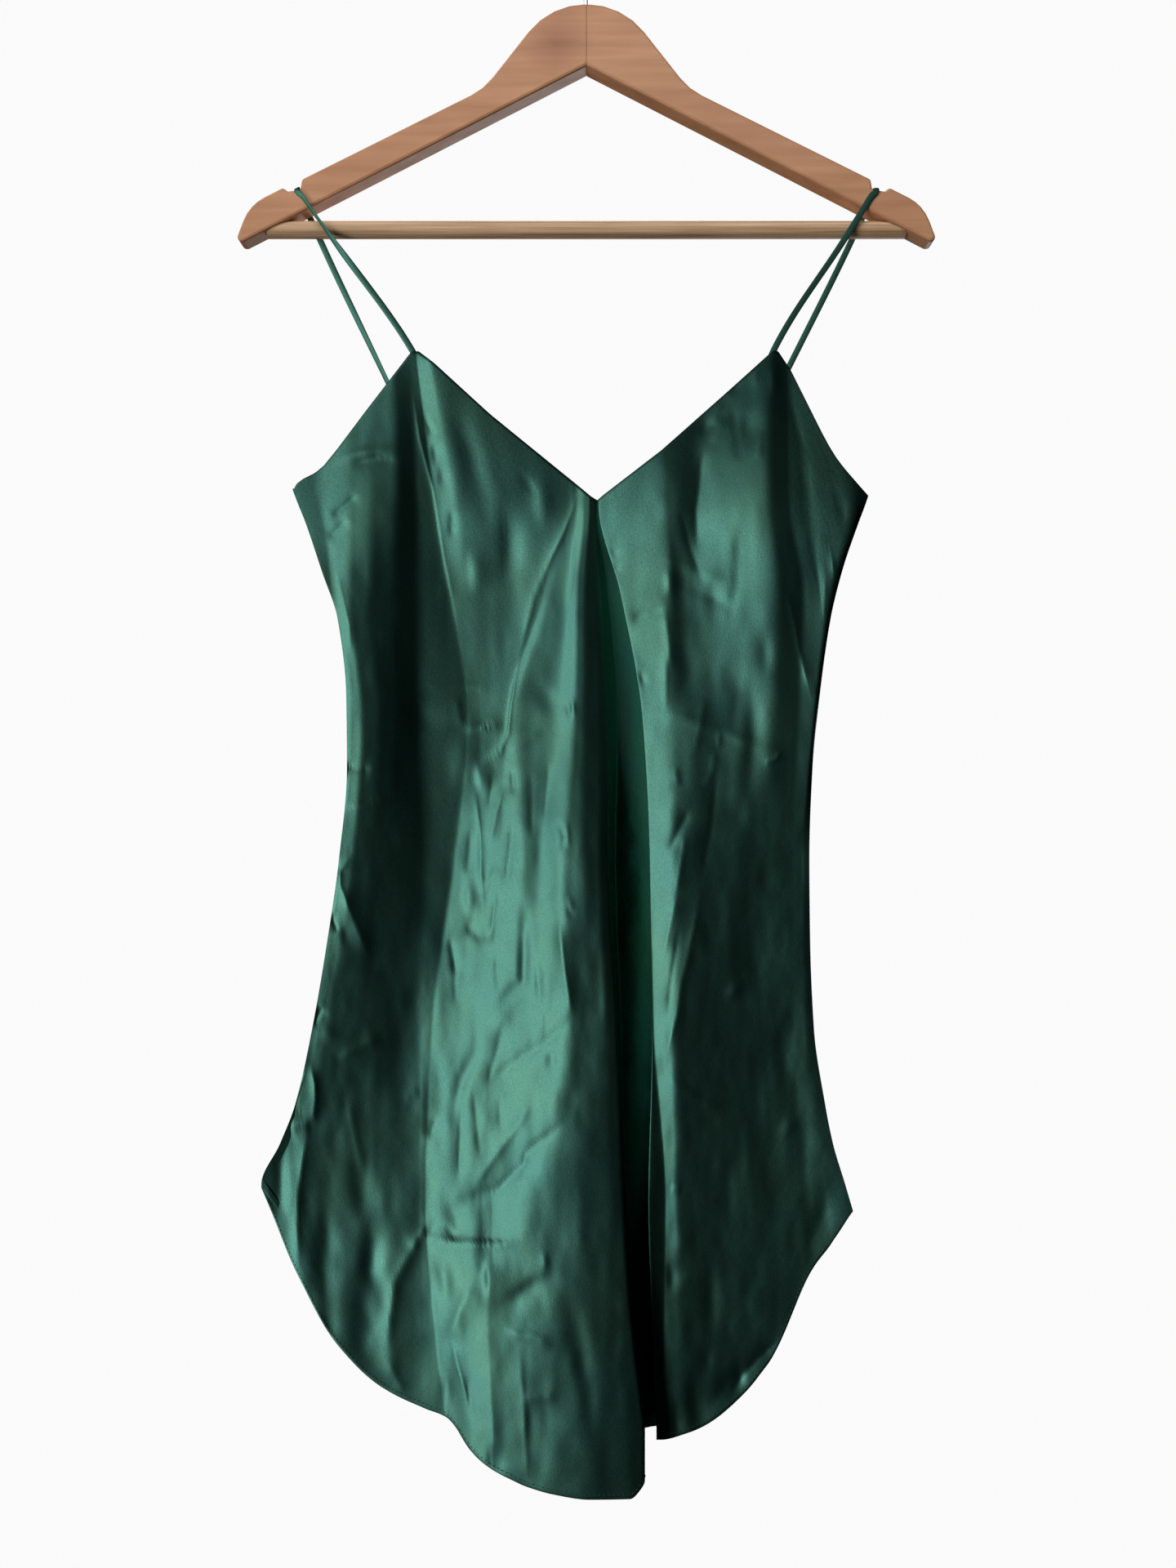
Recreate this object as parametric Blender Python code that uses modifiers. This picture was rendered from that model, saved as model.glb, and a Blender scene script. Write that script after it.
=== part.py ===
"""A V-neck satin slip dress with thin straps, hanging on a wooden hanger with a round bar.

Run it with: blender --background --python part.py

Tables are in millimetres. X runs to the viewer's right and Y away from the viewer. A "drop" is a
distance below the origin, which is the inner top of the hook, where a rail carries the hanger.
"""

import math
from collections import namedtuple

import bmesh
import bpy
import numpy as np
from mathutils import Vector

MM = 0.001
CLEARANCE = 0.3  # between pieces that touch

# ---------------------------------------------------------------- cloth sizes
CLOTH = 1.2  # wall thickness of the satin
SEAM_Y = (CLOTH + CLEARANCE) / 2  # from the plane of the side seams to a panel's middle surface
FRONT_ROWS = 30  # faces from the upper edge to the hem
BACK_ROWS = 22
EDGE_TURNS = 40  # turns in which an upper edge settles on its outline

# Drops at which the fold tables give a position.
LEVELS = {"strap": 299, "bust": 393, "waist": 565, "hip": 760, "hem": 985}

# The two side seams, seen from the front.
Outline = namedtuple("Outline", "drop left right")
OUTLINE = (
    Outline(drop=385, left=-187, right=181),
    Outline(drop=436, left=-169, right=164),
    Outline(drop=480, left=-157, right=154),
    Outline(drop=540, left=-153, right=146),
    Outline(drop=600, left=-156, right=143),
    Outline(drop=660, left=-163, right=144),
    Outline(drop=720, left=-174, right=146),
    Outline(drop=770, left=-182, right=151),
    Outline(drop=831, left=-208, right=167),
    Outline(drop=845, left=-208, right=171),
)

# A panel is a row of crest and trough lines between its two side seams, from left to right.
# x and y: the line's place at each of LEVELS; hem: the drop of the hem at the line;
# columns: faces between this line and the next one.
Fold = namedtuple("Fold", "name x y hem columns")
Seam = namedtuple("Seam", "side hem columns")

FRONT_FOLDS = (
    Seam(side="left", hem=829, columns=2),
    Fold("left roll", x=(-154, -154, -145, -171, -219), y=(-10, -12, -14, -12, -12), hem=862, columns=2),
    Fold("left side", x=(-143, -142, -133, -155, -174), y=(-12, -13, -12, -9, -8), hem=914, columns=2),
    Fold("left flank", x=(-128, -126, -115, -134, -139), y=(-12, -12, -7, -4, -5), hem=951, columns=2),
    Fold("left trough", x=(-110, -106, -92, -102, -92), y=(-11, -6, 4, 7, 8), hem=980, columns=4),
    Fold("left facet", x=(-86, -82, -64, -60, -55), y=(-13, -15, -18, -32, -38), hem=993, columns=3),
    Fold("lobe", x=(-44, -40, -35, -29, -19), y=(-16, -18, -29, -42, -47), hem=1001, columns=3),
    Fold("centre crest", x=(-2, -2, -7, -3, 14), y=(-20, -21, -34, -46, -49), hem=1003, columns=2),
    Fold("lobe edge", x=(4, 4, 14, 23, 36), y=(-20, -20, -26, -34, -38), hem=996, columns=3),
    Fold("recess left", x=(7, 7, 31, 38, 36), y=(-18, -18, -4, 7, 12), hem=990, columns=1),
    Fold("recess right", x=(10, 10, 36, 43, 45), y=(-18, -18, -3, 7, 11), hem=990, columns=3),
    Fold("right crest", x=(18, 18, 55, 54, 59), y=(-20, -22, -24, -22, -18), hem=984, columns=3),
    Fold("right dip", x=(76, 69, 84, 84, 84), y=(-14, -14, -19, -17, -12), hem=970, columns=3),
    Fold("bust crest", x=(105, 108, 117, 112, 115), y=(-13, -22, -14, -11, -8), hem=940, columns=2),
    Fold("right trough", x=(119, 139, 131, 130, 153), y=(-11, -6, -5, -6, -5), hem=889, columns=2),
    Fold("right roll", x=(150, 161, 139, 140, 185), y=(-12, -12, -5, -4, -3), hem=866, columns=2),
    Seam(side="right", hem=844, columns=0),
)

BACK_FOLDS = (
    Seam(side="left", hem=829, columns=3),
    Fold("left flank", x=(-150, -150, -132, -149, -165), y=(13, 13, 15, 15, 14), hem=905, columns=3),
    Fold("left crest", x=(-97, -97, -80, -84, -95), y=(14, 17, 26, 36, 42), hem=955, columns=3),
    Fold("left dip", x=(-44, -44, -38, -42, -45), y=(16, 18, 20, 22, 22), hem=978, columns=3),
    Fold("centre crest", x=(2, 2, 4, 5, 5), y=(18, 20, 29, 39, 46), hem=985, columns=3),
    Fold("right dip", x=(48, 48, 42, 44, 48), y=(16, 18, 21, 23, 23), hem=978, columns=3),
    Fold("right crest", x=(92, 92, 80, 82, 95), y=(14, 17, 25, 34, 40), hem=955, columns=3),
    Fold("right flank", x=(146, 146, 122, 126, 142), y=(12, 12, 14, 13, 11), hem=880, columns=3),
    Seam(side="right", hem=844, columns=0),
)

# Upper edges of the panels, as corners joined by straight runs.
Edge = namedtuple("Edge", "name x drop")
FRONT_EDGE = (
    Edge("left underarm", -187, 382),
    Edge("left underarm curve", -173, 374),
    Edge("left armhole", -162, 364),
    Edge("left strap point", -110, 300),
    Edge("point of the V", 7, 393),
    Edge("right neckline", 61, 352),
    Edge("right strap point", 119, 299),
    Edge("right armhole", 138, 330),
    Edge("right armhole curve", 152, 355),
    Edge("right underarm", 181, 390),
)
BACK_EDGE = (
    Edge("left underarm", -187, 382),
    Edge("left strap", -97, 387),
    Edge("centre", 0, 403),
    Edge("right strap", 92, 389),
    Edge("right underarm", 181, 390),
)

# ---------------------------------------------------------------- strap sizes
STRAP_WIDTH = 4.0
STRAP_OVERLAP = 9.0  # length of strap sewn to the inside of a panel
STRAP_STEP = 14.0  # the longest face along a strap
STRAP_HANGS = (30.0, 12.0, 4.0)  # places below the notch that a strap passes close to the wood
STRAP_BENDS = (0, 30, 60, 90)  # degrees round the long edge of the arm
STRAP_LEVEL = 1 / 3  # steepness up to which a strap's width stays level

Strap = namedtuple("Strap", "name side front front_drop back back_drop")
STRAPS = (
    Strap("strap_left", -1, front="left trough", front_drop=300, back="left crest", back_drop=387),
    Strap("strap_right", 1, front="right trough", front_drop=299, back="right crest", back_drop=389),
)

# ---------------------------------------------------------------- hanger sizes
HANGER_TOP = 76.0  # drop of the top of the wood
ARM_THICKNESS = 14.0
ARM_ROUNDING = 1.6
JOINT_GAP = CLEARANCE / 2  # from the centre line to each half of the wood
NOTCH_X = 185.6  # where a strap crosses the arm
NOTCH_FLOOR = 118.4  # below the top of the wood

# Outline of one arm: distance from the centre line, distance below the top, corner radius.
Corner = namedtuple("Corner", "name x down radius")
ARM_OUTLINE = (
    Corner("top of the joint", JOINT_GAP, 0, 0),
    Corner("head", 23.0, 0, 47),
    Corner("neck", 65.5, 54, 40),
    Corner("inner lip of the notch", 181.0, 111.6, 2.2),
    Corner("inner floor of the notch", 182.0, 118.0, 1),
    Corner("outer floor of the notch", 190.0, 119.2, 2),
    Corner("outer lip of the notch", 192.8, 116.8, 2.2),
    Corner("shoulder end", 214.6, 127.8, 28),
    Corner("tip", 224.8, 154.6, 3.2),
    Corner("underside of the joint", JOINT_GAP, 39.4, 0),
)
ARC_STEP = math.radians(12)  # the longest run round a corner
BEVEL_SEGMENTS = 2
SHARP = math.radians(40)
NEAR = 0.01  # slack in the search for the arm's long edges
WELD = 1e-6  # metres

BAR_RADIUS = 5.4
BAR_HALF_LENGTH = 204.0
BAR_DOWN = 141.2  # below the top of the wood
BAR_SIDES = 24

WIRE_RADIUS = 1.7
HOOK_RADIUS = 20.0  # of the wire's centre line
HOOK_ANGLES = (-57, 200)  # the round part, in degrees from +X
HOOK_RUNS = 26  # straight runs round it
STEM_DEPTH = 24.0  # length of wire inside the wood
BORE_OVERSHOOT = 2.0  # how far the stem's cutter stands out of the wood
BORE_SIDES = 16

# The wire between the wood and the round part.
Bend = namedtuple("Bend", "name x drop")
STEM_BENDS = (
    Bend("where it leaves the wood", 0, 74),
    Bend("start of the swing", 0, 60),
    Bend("swing", 1.6, 50),
    Bend("end of the swing", 5.5, 42),
)

# Colour, roughness, metallic
SATIN = ((0.02, 0.13, 0.09), 0.32, 0.35)
WOOD = ((0.42, 0.22, 0.12), 0.5, 0.0)
DOWEL = ((0.56, 0.38, 0.22), 0.6, 0.0)
STEEL = ((0.6, 0.6, 0.6), 0.25, 1.0)


# ---------------------------------------------------------------- helpers
def smooth(knots, values, at):
    """A curve through values, one for each knot, that never overshoots them. It keeps at's shape."""
    at = np.asarray(at, float)
    knots = np.asarray(knots, float)
    values = np.asarray(values, float)
    values = values.reshape(values.shape + (1,) * (at.ndim + 1 - values.ndim))
    values = np.broadcast_to(values, knots.shape + at.shape)
    secants = np.diff(values, axis=0) / np.diff(knots).reshape((-1,) + (1,) * at.ndim)
    product = secants[:-1] * secants[1:]
    total = secants[:-1] + secants[1:]
    inner = np.where(product > 0, 2 * product / np.where(product > 0, total, 1), 0)
    slopes = np.concatenate([secants[:1], inner, secants[-1:]])
    index = np.clip(np.searchsorted(knots, at, side="right") - 1, 0, len(knots) - 2)
    span = knots[index + 1] - knots[index]
    t = np.clip((at - knots[index]) / span, 0, 1)

    def pick(rows, shift):
        return np.take_along_axis(rows, (index + shift)[None], axis=0)[0]

    start = pick(values, 0) * (1 + 2 * t) + pick(slopes, 0) * span * t
    end = pick(values, 1) * (3 - 2 * t) - pick(slopes, 1) * span * (1 - t)
    return start * (1 - t) ** 2 + end * t**2


def material(name, look):
    colour, roughness, metallic = look
    made = bpy.data.materials.new(name)
    made.use_nodes = True
    shader = made.node_tree.nodes["Principled BSDF"]
    shader.inputs["Base Color"].default_value = (*colour, 1)
    shader.inputs["Roughness"].default_value = roughness
    shader.inputs["Metallic"].default_value = metallic
    return made


def collection_named(name):
    made = bpy.data.collections.new(name)
    bpy.context.scene.collection.children.link(made)
    return made


def add_object(name, data, look, collection):
    made = bpy.data.objects.new(name, data)
    made.data.materials.append(look)
    collection.objects.link(made)
    return made


def curve_data(name, points, kind, cyclic):
    """A curve of one straight-sided spline through points in millimetres."""
    curve = bpy.data.curves.new(name, "CURVE")
    curve.dimensions = kind
    spline = curve.splines.new("POLY")
    spline.points.add(len(points) - 1)
    for target, point in zip(spline.points, points):
        target.co = (*(Vector(point).to_3d() * MM), 1)
    spline.use_cyclic_u = cyclic
    return curve


def mesh_of(curve):
    """The curve as one welded mesh."""
    guide = bpy.data.objects.new("guide", curve)
    bpy.context.scene.collection.objects.link(guide)
    graph = bpy.context.evaluated_depsgraph_get()
    mesh = bpy.data.meshes.new_from_object(guide.evaluated_get(graph))
    bpy.data.objects.remove(guide)
    return mesh


def sheet_mesh(name, points):
    """A grid whose vertices are moved to points[row][column], in millimetres."""
    rows, columns = points.shape[0] - 1, points.shape[1] - 1
    grid = bmesh.new()
    bmesh.ops.create_grid(grid, x_segments=columns, y_segments=rows, size=0.5)
    for vertex in grid.verts:
        column = round((vertex.co.x + 0.5) * columns)
        row = round((0.5 - vertex.co.y) * rows)
        vertex.co = Vector(points[row, column]) * MM
    mesh = bpy.data.meshes.new(name)
    grid.to_mesh(mesh)
    grid.free()
    mesh.shade_smooth()
    return mesh


def add_wall(name, points, look, collection):
    made = add_object(name, sheet_mesh(name, points), look, collection)
    wall = made.modifiers.new("wall", "SOLIDIFY")
    wall.thickness = CLOTH * MM
    wall.offset = 0


# ---------------------------------------------------------------- panels
def line_places(folds, seam_y, drop):
    """x and y of every crest, trough and seam of a panel, at each drop."""
    drops = [row.drop for row in OUTLINE]
    sides = {"left": [row.left for row in OUTLINE], "right": [row.right for row in OUTLINE]}
    levels = list(LEVELS.values())
    x = []
    y = []
    for line in folds:
        if isinstance(line, Seam):
            x.append(smooth(drops, sides[line.side], drop))
            y.append(np.full(np.shape(drop), seam_y))
        else:
            x.append(smooth(levels, line.x, drop))
            y.append(smooth(levels, line.y, drop))
    return np.array(x), np.array(y)


def panel_points(folds, edge, seam_y, rows):
    """The panel's middle surface: rows from its upper edge to its hem, columns from seam to seam."""
    lines = np.arange(len(folds))
    places = [i + np.arange(line.columns) / line.columns for i, line in enumerate(folds[:-1])]
    column = np.append(np.concatenate(places), lines[-1])
    hem = smooth(lines, [line.hem for line in folds], column)
    edge_x = [corner.x for corner in edge]
    edge_drop = [corner.drop for corner in edge]
    # The edge's drop depends on x, and a line's x on its drop, so the two are settled in turns.
    top = np.full(column.shape, float(LEVELS["bust"]))
    for _turn in range(EDGE_TURNS):
        x = smooth(lines, line_places(folds, seam_y, top)[0], column)
        top = (top + np.interp(x, edge_x, edge_drop)) / 2
    share = np.linspace(0, 1, rows + 1)[:, None]
    drop = top + (hem - top) * share
    x, y = line_places(folds, seam_y, drop)
    column = np.broadcast_to(column, drop.shape)
    return np.stack([smooth(lines, x, column), smooth(lines, y, column), -drop], axis=-1)


def make_panels(collection, look):
    front = panel_points(FRONT_FOLDS, FRONT_EDGE, -SEAM_Y, FRONT_ROWS)
    add_wall("dress_front", front, look, collection)
    back = panel_points(BACK_FOLDS, BACK_EDGE, SEAM_Y, BACK_ROWS)
    add_wall("dress_back", back, look, collection)


# ---------------------------------------------------------------- straps
def strap_run(folds, name, drop, side, way):
    """One run of a strap, from the inside of a panel up to the middle of the arm's upper face.

    way is -1 in front of the hanger and 1 behind it.
    """
    line = next(fold for fold in folds if isinstance(fold, Fold) and fold.name == name)
    levels = list(LEVELS.values())
    inside = -way * (CLOTH + CLEARANCE)
    face = ARM_THICKNESS / 2
    lift = CLEARANCE + CLOTH / 2
    notch_x = side * NOTCH_X
    notch = HANGER_TOP + NOTCH_FLOOR
    lean = (smooth(levels, line.x, drop) - notch_x) / (drop - notch)
    run = [
        (smooth(levels, line.x, low), smooth(levels, line.y, low) + inside, low)
        for low in (drop + STRAP_OVERLAP, drop + STRAP_OVERLAP / 2, drop)
    ]
    run += [(notch_x + lean * low, way * (face + lift), notch + low) for low in STRAP_HANGS]
    for angle in np.radians(STRAP_BENDS):
        out = face - ARM_ROUNDING + (ARM_ROUNDING + lift) * math.cos(angle)
        run.append((notch_x, way * out, notch + ARM_ROUNDING - (ARM_ROUNDING + lift) * math.sin(angle)))
    return run


def strap_points(strap):
    """The strap's middle surface: across its width in columns, along its length in rows."""
    front = strap_run(FRONT_FOLDS, strap.front, strap.front_drop, strap.side, -1)
    back = strap_run(BACK_FOLDS, strap.back, strap.back_drop, strap.side, 1)
    route = np.array(front + back[::-1], float)
    along = np.append(0, np.cumsum(np.linalg.norm(np.diff(route, axis=0), axis=1)))
    # Steps are short over the arm, where the strap bends, and long where it hangs straight.
    at = [along[:1]]
    for low, high in zip(along[:-1], along[1:]):
        steps = max(2, math.ceil((high - low) / STRAP_STEP))
        at.append(np.linspace(low, high, steps + 1)[1:])
    at = np.concatenate(at)
    centre = np.stack([np.interp(at, along, route[:, axis]) for axis in range(3)], axis=-1)
    tangent = np.gradient(centre, at, axis=0)
    # The strap lies flat on the wood, so its width is level on top of the arm and square to its
    # run in front of it and behind it.
    lean = np.clip(tangent[:, 0] / np.where(tangent[:, 2] == 0, 1, tangent[:, 2]), -1, 1)
    upright = np.interp(np.abs(tangent[:, 2]), (STRAP_LEVEL, 1), (0, 1))
    across = np.stack([np.ones_like(at), np.zeros_like(at), -lean * upright], axis=-1)
    across /= np.linalg.norm(across, axis=1)[:, None]
    half = across * STRAP_WIDTH / 2
    return np.stack([centre - half, centre + half], axis=1) * (1, 1, -1)


def make_straps(collection, look):
    for strap in STRAPS:
        add_wall(strap.name, strap_points(strap), look, collection)


# ---------------------------------------------------------------- hanger
def rounded(corners):
    """Points of an outline whose corners are replaced by arcs of their own radius."""
    points = []
    for i, corner in enumerate(corners):
        here = Vector((corner.x, corner.down))
        if corner.radius == 0:
            points.append(here)
            continue
        before = corners[i - 1]
        after = corners[(i + 1) % len(corners)]
        inward = (Vector((before.x, before.down)) - here).normalized()
        outward = (Vector((after.x, after.down)) - here).normalized()
        half = inward.angle(outward) / 2
        middle = here + (inward + outward).normalized() * corner.radius / math.sin(half)
        start = here + inward * corner.radius / math.tan(half) - middle
        turn = (math.pi - 2 * half) * math.copysign(1, outward.cross(inward))
        steps = max(2, round(abs(turn) / ARC_STEP))
        for step in range(steps + 1):
            angle = turn * step / steps
            cosine, sine = math.cos(angle), math.sin(angle)
            points.append(
                middle + Vector((start.x * cosine - start.y * sine, start.x * sine + start.y * cosine))
            )
    return points


def arm_mesh(name, side):
    """One half of the wood: its flat outline, thickened, with its long edges rounded."""
    outline = [(side * point.x, -point.y) for point in rounded(ARM_OUTLINE)]
    curve = curve_data(name, outline, "2D", cyclic=True)
    curve.fill_mode = "BOTH"
    curve.extrude = ARM_THICKNESS / 2 * MM
    mesh = mesh_of(curve)
    mesh.name = name
    work = bmesh.new()
    work.from_mesh(mesh)
    bmesh.ops.remove_doubles(work, verts=work.verts, dist=WELD)
    bmesh.ops.dissolve_limit(work, angle_limit=math.radians(1), verts=work.verts, edges=work.edges)
    face = (ARM_THICKNESS / 2 - NEAR) * MM
    joint = (JOINT_GAP + NEAR) * MM
    long_edges = [
        edge
        for edge in work.edges
        if edge.verts[0].co.z * edge.verts[1].co.z > 0
        and min(abs(edge.verts[0].co.z), abs(edge.verts[1].co.z)) > face
        and max(abs(edge.verts[0].co.x), abs(edge.verts[1].co.x)) > joint
    ]
    bmesh.ops.bevel(
        work,
        geom=long_edges,
        offset=ARM_ROUNDING * MM,
        offset_type="OFFSET",
        segments=BEVEL_SEGMENTS,
        profile=0.5,
        affect="EDGES",
    )
    # The outline was drawn lying down: stand it up, with the front of the wood towards -Y.
    for vertex in work.verts:
        vertex.co = Vector((vertex.co.x, -vertex.co.z, vertex.co.y))
    bmesh.ops.recalc_face_normals(work, faces=work.faces)
    work.to_mesh(mesh)
    work.free()
    mesh.shade_smooth()
    mesh.set_sharp_from_angle(angle=SHARP)
    return mesh


def add_rod(name, radius, length, sides, place, turn, look, collection):
    """A round rod whose middle is at place, in millimetres, turned about Y from upright."""
    work = bmesh.new()
    bmesh.ops.create_cone(
        work,
        cap_ends=True,
        segments=sides,
        radius1=radius * MM,
        radius2=radius * MM,
        depth=length * MM,
    )
    mesh = bpy.data.meshes.new(name)
    work.to_mesh(mesh)
    work.free()
    mesh.shade_smooth()
    mesh.set_sharp_from_angle(angle=SHARP)
    made = add_object(name, mesh, look, collection)
    made.location = Vector(place) * MM
    made.rotation_euler = (0, turn, 0)
    return made


def cut(target, cutter):
    cutter.hide_render = True
    cutter.display_type = "WIRE"
    hole = target.modifiers.new(cutter.name, "BOOLEAN")
    hole.operation = "DIFFERENCE"
    hole.object = cutter


def make_hook(collection, look):
    """Bent wire: a stem that stands in the wood, a short swing aside and a round hook above."""
    centre_drop = HOOK_RADIUS - WIRE_RADIUS
    stem = [(0, HANGER_TOP + STEM_DEPTH)] + [(bend.x, bend.drop) for bend in STEM_BENDS]
    arc = [
        (HOOK_RADIUS * math.cos(angle), centre_drop - HOOK_RADIUS * math.sin(angle))
        for angle in np.radians(np.linspace(*HOOK_ANGLES, HOOK_RUNS + 1))
    ]
    route = [(x, 0, -drop) for x, drop in stem + arc]
    curve = curve_data("hanger_hook", route, "3D", cyclic=False)
    curve.bevel_depth = WIRE_RADIUS * MM
    curve.bevel_resolution = 2
    curve.use_fill_caps = True
    add_object("hanger_hook", curve, look, collection)


def make_hanger(collection, cutters, wood, dowel, steel):
    bar_place = (0, 0, -(HANGER_TOP + BAR_DOWN))
    quarter = math.pi / 2
    bore = add_rod(
        "bar_bore",
        BAR_RADIUS + CLEARANCE,
        2 * (BAR_HALF_LENGTH + CLEARANCE),
        BAR_SIDES,
        bar_place,
        quarter,
        dowel,
        cutters,
    )
    stem_end = STEM_DEPTH + CLEARANCE
    stem_bore = add_rod(
        "hook_bore",
        WIRE_RADIUS + CLEARANCE,
        stem_end + BORE_OVERSHOOT,
        BORE_SIDES,
        (0, 0, -(HANGER_TOP + (stem_end - BORE_OVERSHOOT) / 2)),
        0,
        steel,
        cutters,
    )
    for name, side in (("hanger_arm_left", -1), ("hanger_arm_right", 1)):
        arm = add_object(name, arm_mesh(name, side), wood, collection)
        arm.location.z = -HANGER_TOP * MM
        cut(arm, bore)
        cut(arm, stem_bore)
    add_rod(
        "hanger_bar",
        BAR_RADIUS,
        2 * BAR_HALF_LENGTH,
        BAR_SIDES,
        bar_place,
        quarter,
        dowel,
        collection,
    )
    make_hook(collection, steel)


def main():
    for leftover in list(bpy.context.scene.objects):
        bpy.data.objects.remove(leftover)
    collection = collection_named("slip_dress_on_hanger")
    cutters = collection_named("cutters")
    satin = material("satin", SATIN)
    make_panels(collection, satin)
    make_straps(collection, satin)
    make_hanger(
        collection, cutters, material("wood", WOOD), material("dowel", DOWEL), material("steel", STEEL)
    )


main()
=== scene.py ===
"""Looks of a satin slip dress that hangs on a wooden hanger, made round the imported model.

Lengths in the tables are millimetres. X runs to the viewer's right, Y away from the viewer, and a
"drop" is a distance below the origin, which is the inner top of the hook.
"""

import math
from collections import namedtuple

import bpy
import numpy as np
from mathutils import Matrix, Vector


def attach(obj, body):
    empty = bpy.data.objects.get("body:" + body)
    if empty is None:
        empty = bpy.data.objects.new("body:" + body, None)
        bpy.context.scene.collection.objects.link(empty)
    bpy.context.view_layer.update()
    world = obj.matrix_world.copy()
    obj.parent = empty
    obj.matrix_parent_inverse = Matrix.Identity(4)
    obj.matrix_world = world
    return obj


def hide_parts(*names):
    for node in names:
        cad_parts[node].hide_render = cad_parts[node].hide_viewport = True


MM = 0.001

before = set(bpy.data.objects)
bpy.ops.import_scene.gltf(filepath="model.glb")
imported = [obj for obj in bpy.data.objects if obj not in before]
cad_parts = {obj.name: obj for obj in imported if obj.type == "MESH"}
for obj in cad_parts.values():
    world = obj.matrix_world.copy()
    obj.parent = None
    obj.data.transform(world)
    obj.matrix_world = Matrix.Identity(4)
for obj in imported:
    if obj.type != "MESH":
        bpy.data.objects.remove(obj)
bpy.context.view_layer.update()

# ---------------- camera
CAMERA_DISTANCE = 800.0  # from the plane of the side seams
CAMERA_X = 1.05
CAMERA_DROP = 572.3
CAMERA_CLIP = (0.05, 50)  # metres
SENSOR = 36.0
PICTURE_HEIGHT = 1920  # pixels
PIXELS_A_MM = 1.91  # at the plane of the side seams

# ---------------- cloth
PANEL_COLUMNS = 330
PANEL_ROWS = 270
CROWDING = 2.0  # how strongly the columns crowd at a line, over CRISP_ROOM on each side of it
CRISP_ROOM = 5.0
LEAST_ROOM = 3.0  # between two lines on the cloth
FINE_STEPS = 4000  # in which the columns' places across the cloth are worked out
EDGE_TURNS = 40  # turns in which an upper edge settles on its outline

# Small random relief: layers of lumps, with their size on the cloth and their depth, and the share of
# that depth at some drops. It fades out beside a seam over RELIEF_ROOM, and creases over CREASE_ROOM.
Relief = namedtuple("Relief", "width height depth")
RELIEFS = (Relief(19, 30, 0.45), Relief(9, 13, 0.22), Relief(6, 21, 0.16), Relief(3, 4, 0.04))
RELIEF_DROPS = (300, 500, 640, 760, 1030)
RELIEF_SHARES = (0.55, 0.6, 0.9, 1.15, 0.9)
RELIEF_ROOM = 8.0
CREASE_ROOM = 3.0

# A crease is worked out as far as this many of its widths, and comes up from the ends of its path at
# this rate: at 2, it is full in the middle only.
CREASE_REACH = 5.0
SOFT_RISE = 2.0
SHARP_RISE = 3.5

# The narrow turned margins: how far back each of their rows runs, as a share of the margin's width,
# and how far behind the face it lies, as a share of the gap.
HEM_WIDTH = 6.0
EDGE_WIDTH = 4.0
TURNED_GAP = 0.7
Turned = namedtuple("Turned", "back behind")
TURNED_ROWS = (Turned(-0.04, 0.3), Turned(-0.04, 0.7), Turned(0.06, 1), Turned(0.5, 1), Turned(1, 1))

# The stitches that hold the hem. Each is a small tapered ridge, with its corners given as shares of
# its length, width and height.
STITCH_RISE = 2.8  # above the hem's edge
STITCH_PITCH = 3.0
STITCH_LENGTH = 2.1
STITCH_WIDTH = 0.5
STITCH_HEIGHT = 0.32
STITCH_LIFT = 0.02  # off the cloth
STITCH_CORNERS = (
    (-0.5, 0, 0), (-0.3, 0.5, 0), (-0.3, -0.5, 0), (-0.3, 0, 1),
    (0.3, 0.5, 0), (0.3, -0.5, 0), (0.3, 0, 1), (0.5, 0, 0),
)
STITCH_FACES = ((0, 1, 3), (0, 3, 2), (1, 4, 6, 3), (3, 6, 5, 2), (4, 7, 6), (6, 7, 5))

# Where the front is looked at: its tables hold places as they are seen from the camera, on the plane
# of the side seams, and y is the true depth.
FRONT_LEVELS = (299, 393, 450, 530, 620, 730, 840, 912, 986)

# The side seams at SEAM_DROPS: x as it is seen, and the true y. The right one hangs in front of its
# plane under the arm.
SEAM_DROPS = (384, 393, 405, 436, 467, 515, 562, 620, 672, 730, 777, 803, 829, 846)
SEAM_X = {
    "left": (-188.3, -184.8, -180, -169.6, -159.4, -154, -153.5, -158.6, -166, -176, -186.5, -196.5,
             -208.4, -208.4),
    "right": (182, 179, 174.5, 164, 156.5, 149.7, 145, 143, 143.5, 146, 153, 158.2, 166, 171),
}
SEAM_Y = {
    "left": (0,) * len(SEAM_DROPS),
    "right": (-38.5, -38, -36.5, -31.5, -25.5, -17.5, -9.5, -3.4, -1.5, -0.5, 0, 0, 0, 0),
}

# A panel is a row of crest and trough lines between its two side seams, from left to right.
# x and y: the line's place at each of the panel's levels; hem: the drop of the hem there;
# bend: the half width, on the cloth, of the bend along the line.
Line = namedtuple("Line", "name x y hem bend")
Seam = namedtuple("Seam", "side hem")

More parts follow.
